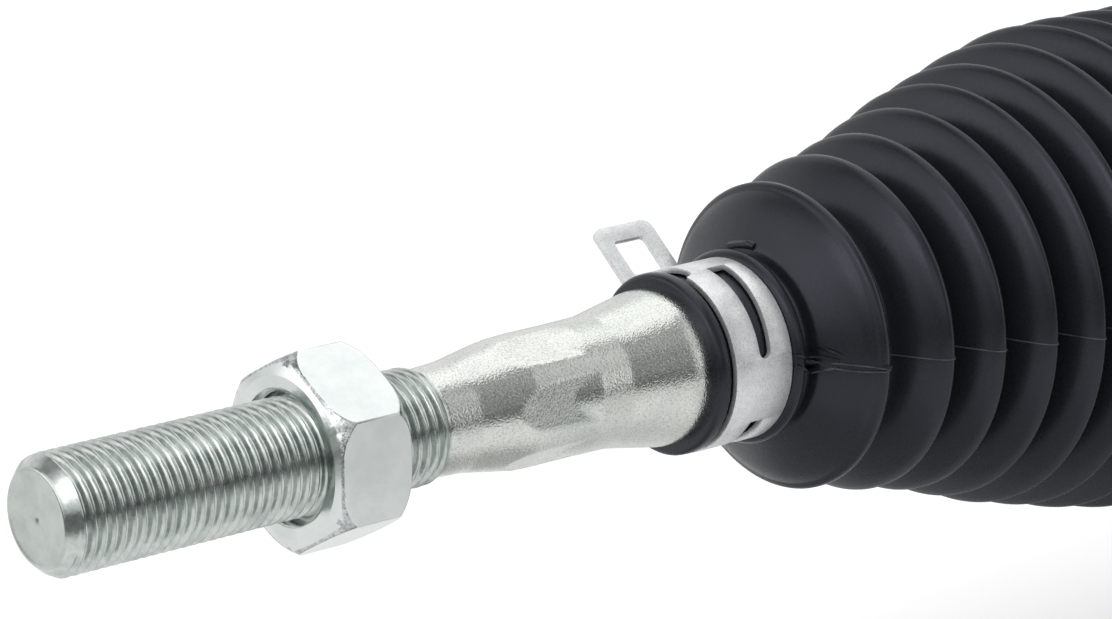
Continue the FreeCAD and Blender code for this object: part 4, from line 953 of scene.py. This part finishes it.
@dataclass
class Bellows:
    """A moulded rubber bellows, in two pieces that meet in the root of a fold.
    """

    paint: Paintbox
    folds: FoldTree
    crests: tuple[float, ...] = (124.8, 135.2, 143.55, 151.4, 158.5, 165.7, 173.4, 181.1, 188.3)
    radii: tuple[float, ...] = (21.8, 24.1, 25.8, 28.2, 30.65, 32.5, 34.5, 36.1, 36.3)
    roots: tuple[float, ...] = (16.4, 18.2, 20.0, 22.4, 24.4, 26.0, 27.4, 28.3, 28.5)
    pitch: float = 7.5
    count: int = 23
    meeting: int = 5
    per_fold: int = 18
    around: int = 176
    wall: float = 1.4
    wobble: float = 0.35
    seam_angle: float = -89.0
    seam_height: float = 0.16
    dome_seam_height: float = 0.3
    dome: tuple[float, float] = (120.3, 125.6)
    dome_foot: float = 14.5
    # half the distance between the dome's two lips, from its root to the first crest
    parting_line: Profile = ((120.3, 0.3), (121.4, 0.42), (123.2, 0.4), (124.6, 0.22), (125.6, 0.06))
    neck: Profile = (
        (102.6, 10.9), (102.6, 12.1), (102.75, 12.45), (103.1, 12.68), (104.1, 12.72), (104.55, 12.6),
        (104.8, 12.2), (104.85, 11.7), (115.7, 11.7), (115.9, 12.7), (116.2, 13.35), (116.7, 13.7),
        (117.2, 13.75), (117.6, 13.45), (117.9, 12.6), (118.2, 11.95), (118.7, 11.75), (119.2, 11.95),
        (119.55, 12.6), (119.7, 13.3), (119.85, 13.75), (120.05, 14.15), (120.7, 15.4), (121.5, 17.0),
        (122.3, 18.5), (122.9, 19.5), (123.5, 20.3), (123.9, 20.7), (124.05, 20.85), (124.18, 21.1),
        (124.35, 21.45), (124.55, 21.68),
    )
    neck_inside: Profile = ((122.5, 13.0), (119.0, 11.2), (116.6, 10.35), (104.2, 10.35))
    cuff: Profile = (
        (294.2, 34.6), (295.2, 31.9), (296.0, 29.9), (296.8, 28.85), (297.6, 28.6), (299.0, 28.6),
        (307.7, 28.6), (308.1, 28.9), (308.5, 29.5), (309.0, 29.7), (309.6, 29.6), (310.0, 29.2),
        (310.0, 26.85), (297.2, 26.85), (295.6, 28.25), (294.6, 28.25), (292.0, 27.0),
    )

    def lines(self) -> tuple[np.ndarray, np.ndarray, np.ndarray]:
        """The crests' places and radii, and the radii of the roots that follow them.

        Returns:
            Three arrays, one entry for each crest.
        """
        # behind the last one given, the crests and roots repeat
        more = self.count - len(self.crests)
        places = [*self.crests, *(self.crests[-1] + self.pitch * (k + 1) for k in range(more))]
        radii, roots = (np.pad(sizes, (0, more), mode="edge") for sizes in (self.radii, self.roots))
        return np.array(places), radii, roots

    def fold_line(self, first: float, last: float) -> np.ndarray:
        """The envelope between two places counted in folds.

        Args:
            first: Where it starts, in folds from the first crest.
            last: Where it ends.

        Returns:
            Place, radius, phase and groove depth of each station.
        """
        places, radii, roots = self.lines()
        steps = int(round((last - first) * self.per_fold))
        phases = np.linspace(first, last, steps + 1)
        index = np.arange(self.count, dtype=float)
        along = np.interp(phases, index, places)
        radius = np.interp(phases, index, radii)
        depths = (radii + np.append(radii[1:], radii[-1])) / 2 - roots
        depth = np.interp(phases, index + 0.5, depths)
        return np.stack([along, radius, phases, depth], axis=1)

    @staticmethod
    def plain(line: Profile) -> np.ndarray:
        """Stations without a fold, along a line of places and radii."""
        return np.array([(along, radius, 0.0, 0.0) for along, radius in line])

    def inner_line(self, first: float, last: float) -> Profile:
        """The plain inside, a wall's thickness under the roots.

        Args:
            first: Where the folds above it start, in folds from the first crest.
            last: Where they end.

        Returns:
            Its places and radii, from the last back to the first.
        """
        places, _, roots = self.lines()
        line = []
        for k in range(int(math.ceil(last)) - 1, int(math.floor(first)) - 1, -1):
            if first <= k + 0.5 <= last and k + 1 < self.count:
                line.append(((places[k] + places[k + 1]) / 2, roots[k] - self.wall))
        return line

    def build(self, side: Side) -> None:
        """Build and place both pieces of one bellows.

        Args:
            side: Which end of the gear.
        """
        split, last = self.meeting - 0.5, self.count - 1.0
        neck, inside = self.plain(self.neck), self.plain([*self.inner_line(0.0, split), *self.neck_inside])
        table = np.concatenate([neck, self.fold_line(0.0, split), inside])
        rod = self.piece(f"bellows_rod_end_{side.value}", table, side)
        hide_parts(f"bellows_{side.value}")
        side.rod_body
        side.point(162.0)
        side.point(121.0)
        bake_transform(rod)

        inside = self.plain([*self.cuff, *self.inner_line(split, last)])
        table = np.concatenate([self.fold_line(split, last), inside])
        body = self.piece(f"bellows_housing_end_{side.value}", table, side)
        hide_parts(f"bellows_{side.value}")
        side.point(296.0)
        side.point(162.0)
        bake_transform(body)

    def piece(self, name: str, table: np.ndarray, side: Side) -> Piece:
        """Turn a closed line of stations into a folded shell.

        Args:
            name: The piece's name.
            table: Place, radius, phase and groove depth of each station, once round the wall.
            side: Which end of the gear.

        Returns:
            The piece, placed and painted.
        """
        made = new_object(name, skin(name, revolve(table[:, :2], self.around), loop=True))
        stored = {
            "fold_phase": table[:, 2],
            "fold_depth": table[:, 3] * MM,
            "fold_free": (table[:, 3] > 0).astype(float),
        }
        for label, values in stored.items():
            attribute = made.data.attributes.new(label, "FLOAT", "POINT")
            attribute.data.foreach_set("value", np.repeat(values, self.around).astype(np.float32))
        rubbers = [self.paint.get(finish) for finish in (BELLOWS_RUBBER, SEAM_LIP_PAINTED_HIGHLIGHT)]
        run_tree(made, self.folds.tree, {"Wobble": self.wobble * MM, "Material": rubbers[0]})
        for label in stored:
            made.data.attributes.remove(made.data.attributes[label])
        # before the lips are added, because clearing the materials takes every face back to the first
        made.data.materials.clear()
        for rubber in rubbers:
            made.data.materials.append(rubber)
        self.add_seam(made, table)
        seat_piece(made, side.place(), None, crease=70.0)
        return made

    def add_seam(self, made: Piece, table: np.ndarray) -> None:
        """Raise the thin lips that the two halves of the mould left along the folds.

        Args:
            made: The folded shell, before it is placed.
            table: Its stations.
        """
        work = bmesh.new()
        work.from_mesh(made.data)
        work.verts.ensure_lookup_table()
        column = int(round((self.seam_angle % 360.0) / 360.0 * self.around)) % self.around
        along, radius, _, depth = table.T
        folds = np.flatnonzero(depth > 0)
        on_dome = (self.dome[0] < along) & (along < self.dome[1]) & ((depth > 0) | (radius > self.dome_foot))
        dome = np.flatnonzero(on_dome)
        lips = []
        for turn in (0, self.around // 2):
            way = (column + turn) % self.around
            lips.append(self.lip(work, folds, way, lambda x: 0.0, self.seam_height))
            if dome.size:
                lips.append(self.lip(work, dome, way, self.parting, self.dome_seam_height))
                lips.append(self.lip(work, dome, way, lambda x: -self.parting(x), self.dome_seam_height))
        # the lips take the second material, whose paler colour is a painted highlight
        for lip in lips:
            sweep(work, lip, 1)
        for web in self.flash() if dome.size else []:
            sweep(work, web)
        work.to_mesh(made.data)
        work.free()

    def parting(self, along: float) -> float:
        """Half the distance between the dome's two lips at a place along the rod."""
        return float(np.interp(along, *zip(*self.parting_line)))

    def lip(
        self,
        work: Work,
        stations: Sequence[int],
        column: int,
        aside: Callable[[float], float],
        height: float,
    ) -> list[list[Vector]]:
        """The sections of one thin lip that follows the surface from station to station.

        Args:
            work: The folded shell.
            stations: The stations that it passes.
            column: The point of each ring that it follows.
            aside: Place along the rod to sideways distance, in millimetres.
            height: How far it stands up, in millimetres.

        Returns:
            One closed section for each station.
        """
        path = [work.verts[k * self.around + column].co.copy() for k in stations]
        sections = []
        for k, foot in enumerate(path):
            ahead = (path[min(k + 1, len(path) - 1)] - path[max(k - 1, 0)]).normalized()
            out = Vector((0.0, foot.y, foot.z)).normalized()
            across = out.cross(Vector((1.0, 0.0, 0.0)))
            up = ahead.cross(across).normalized()
            middle = foot + across * aside(foot.x / MM) * MM
            shape = ((-0.17, -0.2), (-0.06, height), (0.06, height), (0.17, -0.2))
            sections.append([middle + (across * w + up * h) * MM for w, h in shape])
        return sections

    def flash(self) -> list[list[list[Vector]]]:
        """The torn flash where the mould's joint crosses the neck: webs over the groove, and small fins.

        Returns:
            The sections of each web, from stations of place, angle, foot, top and half thickness.
        """
        webs = (
            # two webs from the neck's bead over the groove to the dome
            (
                (115.95, -82.0, 12.8, 13.4, 0.14), (116.5, -82.8, 12.8, 14.25, 0.24),
                (117.0, -84.4, 12.6, 14.3, 0.2), (117.5, -85.6, 12.0, 13.9, 0.14),
                (118.2, -85.0, 11.4, 13.4, 0.18), (118.9, -85.2, 11.4, 13.8, 0.18),
                (119.6, -85.6, 12.2, 14.5, 0.2), (120.3, -86.2, 13.6, 15.4, 0.2),
                (121.0, -87.0, 15.0, 16.5, 0.14),
            ),
            (
                (115.95, -88.6, 12.8, 13.6, 0.14), (116.6, -89.6, 12.8, 14.3, 0.2),
                (117.2, -91.6, 12.4, 14.4, 0.17), (117.8, -93.4, 12.0, 14.0, 0.24),
                (118.5, -94.2, 11.4, 13.8, 0.17), (119.3, -93.6, 11.8, 14.2, 0.24),
                (120.1, -92.8, 13.2, 15.2, 0.17), (120.9, -91.2, 14.8, 16.4, 0.14),
            ),
            # the skin that sags into the groove between them
            (
                (117.0, -88.6, 12.2, 13.1, 0.3), (117.5, -89.2, 11.6, 12.5, 0.7),
                (118.0, -88.8, 11.4, 12.1, 0.85), (118.5, -89.6, 11.4, 12.3, 0.8),
                (119.0, -89.2, 11.6, 12.8, 0.75), (119.6, -89.6, 12.2, 13.5, 0.5),
                (120.1, -89.2, 13.0, 14.3, 0.25),
            ),
            # a pale fin on the dome's root
            (
                (119.75, -80.4, 13.0, 14.0, 0.1), (120.1, -81.4, 13.6, 14.9, 0.2),
                (120.6, -82.8, 14.6, 15.9, 0.24), (121.1, -84.2, 15.6, 16.6, 0.2),
                (121.6, -85.6, 16.6, 17.3, 0.1),
            ),
            # the tip that stands beyond the first crest
            (
                (124.3, -88.6, 20.6, 21.7, 0.1), (124.9, -88.7, 21.2, 22.4, 0.14),
                (125.5, -88.9, 21.0, 22.35, 0.1), (126.0, -89.0, 20.8, 21.9, 0.05),
            ),
        )
        pieces = [[self.web_section(*station) for station in web] for web in webs]
        # a curled strip of flash along the dome's root, over the top
        curl = []
        for angle in np.arange(21.0, -1.6, -1.5):
            height = 0.05 + 0.42 * math.exp(-(((angle - 4.0) / 3.5) ** 2))
            shape = ((119.72, 13.3), (119.5, 13.95 + height), (119.75, 14.15 + height), (120.6, 14.6))
            curl.append([spot(x, angle, r) for x, r in shape])
        pieces.append(curl)
        return pieces

    @staticmethod
    def web_section(along: float, angle: float, foot: float, top: float, half: float) -> list[Vector]:
        """One upright section of a web of flash.

        Args:
            along: Place along the rod in millimetres.
            angle: Its angle round the rod in degrees.
            foot: Radius of its foot.
            top: Radius of its torn edge.
            half: Half its thickness.

        Returns:
            Its four corners in metres.
        """
        across = radial(angle).cross(Vector((1.0, 0.0, 0.0)))
        shape = ((-1.4 * half, foot), (-0.6 * half, top), (0.6 * half, top), (1.4 * half, foot))
        return [spot(along, angle, r) + across * w * MM for w, r in shape]


def sweep(work: Work, sections: Sequence[Sequence[Vector]], finish: int = 0) -> None:
    """Join closed sections into a solid strip with both ends closed.

    Args:
        work: The mesh that gets the strip.
        sections: Its sections in order, each with the same number of corners.
        finish: Which of the mesh's materials it takes.
    """
    rows = [[work.verts.new(point) for point in section] for section in sections]
    count = len(rows[0])
    faces = [work.faces.new(rows[0]), work.faces.new(rows[-1][::-1])]
    for here, there in zip(rows, rows[1:]):
        for k in range(count):
            follow = (k + 1) % count
            faces.append(work.faces.new((here[follow], here[k], there[k], there[follow])))
    for face in faces:
        face.smooth = True
        face.material_index = finish
    bmesh.ops.recalc_face_normals(work, faces=faces)


# --- band clamps -----------------------------------------------------------------------------------


@dataclass
class SpringClamp:
    """The spring clamp on the tie rod: a slotted band whose end stands up as a window for pliers."""

    paint: Paintbox
    start: float = 105.5
    end: float = 115.7
    inner: float = 12.0
    thickness: float = 0.8
    joint: float = 50.0
    tongue: tuple[float, float] = (-11.0, 46.0)
    tongue_step: float = 1.75
    tab_angle: float = 50.0
    tab_start: float = 105.1
    tab_top: float = 22.8
    window: tuple[float, ...] = (107.4, 113.0, 14.3, 20.2)
    sheared_edge: float = 0.11
    slots: tuple[tuple[float, ...], ...] = (
        # from and to angle, near and far edge at the first end, near and far edge at the second
        (-6.0, -80.0, 110.0, 113.3, 109.9, 111.9),
        (-124.0, -168.0, 110.0, 112.4, 109.7, 113.2),
    )

    def build(self, side: Side) -> None:
        """Build and place one clamp.

        Args:
            side: Which end of the gear.
        """
        work = bmesh.new()
        self.make_band(work)
        self.make_tab(work)
        mesh = bpy.data.meshes.new("spring_clamp")
        work.to_mesh(mesh)
        work.free()
        piece = new_object(f"spring_clamp_{side.value}", mesh)
        wall = piece.modifiers.new("strip", "SOLIDIFY")
        wall.thickness, wall.offset = self.thickness * MM, 1.0
        cut_edges(piece, "sheared_edges", self.sheared_edge, angle=40.0)
        seat_piece(piece, side.place(), self.paint.get(STRIP_ZINC), crease=32.0)
        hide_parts(f"small_clamp_{side.value}")
        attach(piece, side.rod_body)

    def front_edge(self, angle: float) -> float:
        """The band's edge towards the tip, which steps back where the tongue begins.

        Args:
            angle: Where round the band, in degrees.

        Returns:
            The edge's place along the rod.
        """
        first, last = self.tongue
        if first <= angle <= last:
            share = min(1.0, (angle - first) / 7.0, (last - angle) / 3.0)
            return self.start + self.tongue_step * math.sin(math.pi / 2 * share) ** 0.6
        return self.start

    def slot_edges(self, angle: float) -> tuple[float, float, bool]:
        """The slot at one place.

        Args:
            angle: Where round the band, in degrees.

        Returns:
            The places of its two edges, and whether the band is open there.
        """
        for first, last, near_a, far_a, near_b, far_b in self.slots:
            if last < angle < first:
                share = (first - angle) / (first - last)
                near = near_a + (near_b - near_a) * share
                far = far_a + (far_b - far_a) * share
                half = (far - near) / 2
                # round the far end, square the near one
                left = (angle - last) * math.pi / 180.0 * self.inner
                pull = 0.0 if left >= half else half - math.sqrt(max(0.0, half**2 - (half - left) ** 2))
                return near + pull, far - pull, True
        middle = (self.start + self.end) / 2 + 0.6
        return middle, middle, False

    def make_band(self, work: Work) -> None:
        """Add the band, a ladder of faces whose rungs leave the slots open.

        Args:
            work: The mesh that gets it.
        """
        marks = set(np.arange(self.joint - 360.0, self.joint + 0.01, 2.0))
        for slot in self.slots:
            first, last = slot[0], slot[1]
            marks |= {first, first - 0.01, last, last + 0.01}
            marks |= {last + 0.6 * k for k in range(12)}
        # closer rungs where the tongue's corners are round
        marks |= {-11.0, -10.8, -10.4, -9.8, -9.0, -8.0, -6.5, -5.0, 43.0, 44.5, 45.4, 46.0}
        columns = []
        for angle in sorted(marks):
            if angle > self.joint or angle < self.joint - 359.9:
                continue
            near, far, is_open = self.slot_edges(angle)
            edges = (self.front_edge(angle), near, far, self.end)
            columns.append(([work.verts.new(spot(x, angle, self.inner)) for x in edges], is_open))
        for (here, open_here), (there, open_there) in zip(columns, columns[1:] + columns[:1]):
            for row in range(3):
                if row == 1 and (open_here or open_there):
                    continue
                corners = [here[row], here[row + 1], there[row + 1], there[row]]
                spots = [corner.co for corner in corners]
                if (spots[0] - spots[1]).length < WELD and (spots[2] - spots[3]).length < WELD:
                    continue
                work.faces.new(corners)
        bmesh.ops.remove_doubles(work, verts=work.verts, dist=WELD)
        bmesh.ops.recalc_face_normals(work, faces=work.faces)
        probe = max(work.faces, key=lambda f: f.calc_area())
        middle = probe.calc_center_median()
        if probe.normal.dot(Vector((0, middle.y, middle.z))) < 0:
            bmesh.ops.reverse_faces(work, faces=work.faces)

    def make_tab(self, work: Work) -> None:
        """Add the upright window, with rounded corners.

        Args:
            work: The mesh that gets it.
        """
        outer = rounded_box(self.tab_start, self.end - 0.2, self.inner + 0.1, self.tab_top, 0.4, 1.5)
        inner = rounded_box(*self.window, 0.5, 0.6)
        rows = []
        for loop in (outer, inner):
            rows.append([work.verts.new(spot(x, self.tab_angle, r)) for x, r in loop])
        count = len(rows[0])
        for k in range(count):
            follow = (k + 1) % count
            work.faces.new((rows[0][k], rows[0][follow], rows[1][follow], rows[1][k]))


def rounded_box(x0: float, x1: float, y0: float, y1: float, low_corner: float, high_corner: float) -> Profile:
    """The corners of a box with rounded corners.

    Args:
        x0: Its left side.
        x1: Its right side.
        y0: Its foot.
        y1: Its top.
        low_corner: The radius of its two corners at the foot.
        high_corner: The radius of its two corners at the top.

    Returns:
        The points of its outline, seven for each corner.
    """
    points = []
    for cx, cy, radius, turn in (
        (x0 + low_corner, y0 + low_corner, low_corner, 180.0),
        (x1 - low_corner, y0 + low_corner, low_corner, 270.0),
        (x1 - high_corner, y1 - high_corner, high_corner, 0.0),
        (x0 + high_corner, y1 - high_corner, high_corner, 90.0),
    ):
        for k in range(7):
            angle = math.radians(turn + 15.0 * k)
            points.append((cx + radius * math.cos(angle), cy + radius * math.sin(angle)))
    return points


# --- the input shaft -------------------------------------------------------------------------------


@dataclass
class InputShaft:
    """The serrated end of the pinion shaft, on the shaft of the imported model.

    Its foot is counted from the pinion's joint, and the stub's other places from that foot.
    """

    paint: Paintbox
    ridges: RidgeTree
    radius: float = 7.5
    serrations: int = 36
    depth: float = 0.55
    reach: tuple[float, float] = (1.0, 32.6)
    run_out: float = 1.2
    groove: float = 6.3
    foot: float = 54.0
    around: int = 288

    def build(self) -> None:
        """Cut the plain stub off a copy of the shaft and put the serrated one in its place."""
        joint = next(j for j in frame["joints"] if j["name"] == "pinion_turn")
        axis = Vector(joint["axis"]).normalized()
        origin = Vector(joint["pos_m"])
        node = frame["nodes"]["pinion_shaft"]
        foot = origin + axis * self.foot * MM
        work = bmesh.new()
        work.from_mesh(node.data)
        bmesh.ops.remove_doubles(work, verts=work.verts, dist=WELD)
        everything = work.verts[:] + work.edges[:] + work.faces[:]
        bmesh.ops.bisect_plane(work, geom=everything, plane_co=foot, plane_no=axis, clear_outer=True)
        bmesh.ops.holes_fill(work, edges=work.edges, sides=0)
        mesh = bpy.data.meshes.new("pinion_shaft_body")
        work.to_mesh(mesh)
        work.free()
        shaft = new_object("pinion_shaft_body", mesh)
        material = self.paint.get(GROUND_STEEL)
        seat_piece(shaft, Matrix.Identity(4), material, crease=30.0)
        rings = revolve(self.stub_line(), self.around)
        stub = new_object("input_serrations", skin("serrations", rings))
        values = {
            "Waves per Metre": 0.0,
            "Waves Round": float(self.serrations),
            "Crest Radius": self.radius * MM,
            "Depth": self.depth * MM,
            "From": self.reach[0] * MM,
            "To": self.reach[1] * MM,
            "Run-out": self.run_out * MM,
            "Material": material,
        }
        run_tree(stub, self.ridges.tree, values)
        turn = axis.to_track_quat("X", "Z").to_matrix().to_4x4()
        seat_piece(stub, Matrix.Translation(foot) @ turn, material, crease=35.0)
        for piece in (shaft, stub):
            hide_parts("pinion_shaft")
            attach(piece, "pinion")

    def stub_line(self) -> Profile:
        """The stub's outside from its foot.

        Returns:
            Two serrated lengths with the clamp bolt's groove between them, then the centre hole.
        """
        crest, groove = self.radius, self.groove
        line = [(-0.6, 6.6), (-0.3, 7.2), (0.0, crest)]
        line += [(k, crest) for k in np.arange(0.4, 13.1, 0.4)]
        line += [(13.3, crest), (14.5, groove), (18.0, groove), (21.5, groove), (22.7, crest)]
        line += [(k, crest) for k in np.arange(23.0, 30.8, 0.4)]
        line += [(31.0, crest), (31.5, 7.0), (32.0, 6.5), (32.0, 3.0), (31.9, 1.6), (31.0, 0.9), (30.6, 0.05)]
        return line


# --- studio ----------------------------------------------------------------------------------------


@dataclass(frozen=True)
class Softbox:
    """A soft lamp: its place and aim in metres, its two sides in metres and its power in watts."""

    name: str
    at: Point
    aim: Point
    size: tuple[float, float]
    power: float


@dataclass
class Studio:
    """The camera, the soft lamps, the pale floor and the white surround."""

    camera_at: Point = (-0.850392, -0.494903, 0.210471)
    right: Point = (0.7612, -0.6485, 0.0)
    forward: Point = (0.6240, 0.7324, -0.2723)
    sensor: float = 36.0
    lens: float = 150.34
    floor_size: float = 30.0
    floor_drop: float = 0.031
    floor_lift: float = 0.4
    # where light and shade are painted on the table for polished metal, in metres: the end of the painted light
    # from the left softbox in X, the near edge in Y, the corner in X + Y/2, and the left, right, near and far edge
    # of the painted shadow of the bellows
    painted_light_end: tuple[float, float] = (-0.395, -0.355)
    near_edge: tuple[float, float] = (-0.524, -0.758)
    corner: tuple[float, float] = (-0.70, -0.80)
    shadow: tuple[tuple[float, float], ...] = ((-0.53, -0.50), (-0.42, -0.44), (-0.11, -0.07), (0.03, 0.0))
    lamps: tuple[Softbox, ...] = (
        Softbox("overhead_softbox", (-0.1, 0.15, 1.7), (0.0, 0.0, 0.0), (2.6, 1.5), 12.0),
        Softbox("left_softbox", (-1.83, -0.56, 1.19), (-0.5, 0.0, 0.0), (0.95, 0.95), 4.6),
    )

    def build(self) -> None:
        """Set the whole studio up."""
        self.make_camera()
        self.make_lamps()
        self.make_floor()
        self.make_surround()
        bpy.context.scene.view_settings.view_transform = "Standard"

    def make_camera(self) -> None:
        """The camera at the photograph's place and angle."""
        data = bpy.data.cameras.new("product_camera")
        data.sensor_width, data.lens, data.sensor_fit = self.sensor, self.lens, "HORIZONTAL"
        data.clip_start, data.clip_end = 0.05, 60.0
        camera = bpy.data.objects.new("product_camera", data)
        bpy.context.scene.collection.objects.link(camera)
        right, ahead = Vector(self.right).normalized(), Vector(self.forward).normalized()
        up = right.cross(ahead).normalized()
        turn = Matrix((right, up, -ahead)).transposed().to_4x4()
        camera.matrix_world = Matrix.Translation(self.camera_at) @ turn
        bpy.context.scene.camera = camera

    def make_lamps(self) -> None:
        """Large soft lamps above and to the left."""
        for box in self.lamps:
            data = bpy.data.lights.new(box.name, "AREA")
            data.shape, data.energy = "RECTANGLE", box.power
            data.size, data.size_y = box.size
            lamp = bpy.data.objects.new(box.name, data)
            bpy.context.scene.collection.objects.link(lamp)
            lamp.location = box.at
            aim = Vector(box.aim) - Vector(box.at)
            lamp.rotation_euler = aim.to_track_quat("-Z", "Y").to_euler()

    def make_floor(self) -> None:
        """A pale floor, low enough for a tie rod that is swung down to its limit."""
        low = CAD_BOX[0].z - self.floor_drop
        half = self.floor_size / 2
        corners = [(-half, -half, low), (half, -half, low), (half, half, low), (-half, half, low)]
        mesh = bpy.data.meshes.new("studio_floor")
        mesh.from_pydata(corners, [], [(0, 1, 2, 3)])
        floor = new_object("studio_floor", mesh)
        material = bpy.data.materials.new("pale_studio_floor")
        tree = cleared(material)
        path = add_node(tree, "ShaderNodeLightPath").outputs
        place = add_node(tree, "ShaderNodeTexCoord").outputs["Object"]
        x, y, _ = add_node(tree, "ShaderNodeSeparateXYZ", {0: place}).outputs
        paper = add_node(tree, "ShaderNodeBsdfDiffuse", {"Color": linear("#f4f4f4")})
        # the camera sees the paper almost burnt out, as in a product photograph
        bright = self.glowing(tree, paper, self.floor_lift)
        # painted light: for polished metal the table glows, as if lit by the left softbox, as far as the gear
        polished = self.glowing(tree, paper, mapped(tree, x, *self.painted_light_end, (0.26, 0.05)))
        lit = chosen(tree, path["Is Glossy Ray"], paper, polished)
        # and beyond the near edge and the corner of the table painted shade, as from an unlit room
        slant = maths(tree, "ADD", x, maths(tree, "MULTIPLY", y, 0.5))
        zones = [zone(tree, 0.75, [(y, *self.near_edge)]), zone(tree, 0.8, [(slant, *self.corner)])]
        # the rubber mirrors a patch of table under the bellows, darkened as a painted shadow
        patch = [(value, *edge) for value, edge in zip((x, x, y, y), self.shadow)]
        zones.append(zone(tree, 0.42, patch, "MULTIPLY"))
        dark = maths(tree, "MULTIPLY", joined(tree, "MAXIMUM", zones), path["Is Glossy Ray"])
        painted_room_shade = add_node(tree, "ShaderNodeBsdfDiffuse", {"Color": linear("#2a2a2a")})
        mixed = chosen(tree, path["Is Camera Ray"], chosen(tree, dark, lit, painted_room_shade), bright)
        add_node(tree, "ShaderNodeOutputMaterial", {"Surface": mixed.outputs[0]})
        mesh.materials.append(material)

    @staticmethod
    def glowing(tree: Tree, surface: Node, strength: float | Socket) -> Node:
        """A surface that also gives off white light of a strength."""
        glow = add_node(tree, "ShaderNodeEmission", {"Color": WHITE, "Strength": strength})
        return add_node(tree, "ShaderNodeAddShader", {0: surface.outputs[0], 1: glow.outputs[0]})

    def make_surround(self) -> None:
        """White to the camera and through glass, zones of dark and light in metal, even light elsewhere."""
        world = bpy.data.worlds.new("studio_surround")
        bpy.context.scene.world = world
        tree = cleared(world)
        path = add_node(tree, "ShaderNodeLightPath").outputs
        way = add_node(tree, "ShaderNodeTexCoord").outputs["Generated"]
        x, y, z = add_node(tree, "ShaderNodeSeparateXYZ", {0: way}).outputs
        azimuth = maths(tree, "ARCTAN2", y, x)

        def turn(low: float, high: float) -> tuple[Socket, float, float]:
            """An edge between two azimuths in degrees."""
            return azimuth, math.radians(low), math.radians(high)

        # strength, and for each edge the direction's component or azimuth outside the zone and inside it
        zones = (
            # the unlit side of the studio is a dark band along the horizon in polished metal
            (1.0, [(z, 0.24, 0.08), turn(-52, -60), turn(-170, -154)]),
            # with a gap between the softbox on the left and the white card on the right
            (0.8, [(z, 0.92, 0.62), turn(-49, -61), turn(-92, -82)]),
            # whose upper corner leans over to the right
            (0.36, [(z, 0.82, 0.60), (z, 0.28, 0.46), turn(-22, -44), turn(-90, -82)]),
            # the wall on the far left is unlit too, though less deep
            (0.72, [turn(102, 122), turn(176, 160), (z, 0.90, 0.70), (z, 0.34, 0.52)]),
        )
        dark = joined(tree, "MAXIMUM", [zone(tree, strength, edges) for strength, edges in zones])
        side = mapped(tree, dark, 0.0, 1.0, (1.0, 0.1), "LINEAR")
        # behind the overhead softbox only the lamp itself is bright
        above = mapped(tree, z, 0.68, 0.80, (1.0, 0.42), "LINEAR")
        # a white card stands beyond the tie rod's tip
        card = zone(tree, 0.8, [(x, -0.52, -0.72), (y, -0.14, 0.06), (z, -0.04, 0.08), (z, 0.90, 0.76)])
        grey = maths(tree, "ADD", card, maths(tree, "MULTIPLY", side, above))
        soft, mirror, white = (
            add_node(tree, "ShaderNodeBackground", {"Color": WHITE, "Strength": strength})
            for strength in (0.5, grey, 1.0)
        )
        seen = maths(tree, "MAXIMUM", path["Is Camera Ray"], path["Is Transmission Ray"])
        final = chosen(tree, seen, chosen(tree, path["Is Glossy Ray"], soft, mirror), white)
        add_node(tree, "ShaderNodeOutputWorld", {"Surface": final.outputs[0]})


def main() -> None:
    """Build the studio and every piece of the gear."""
    logging.basicConfig(level=logging.INFO, format="%(name)s: %(message)s")
    Studio().build()
    paint = Paintbox()
    paint.dress_nodes()
    ridges, folds = RidgeTree(), FoldTree()
    for side in Side:
        TieRod(paint, ridges).build(side)
        LockNut(paint).build(side)
        Bellows(paint, folds).build(side)
        SpringClamp(paint).build(side)
    InputShaft(paint, ridges).build()


if __name__ == "__main__":
    main()
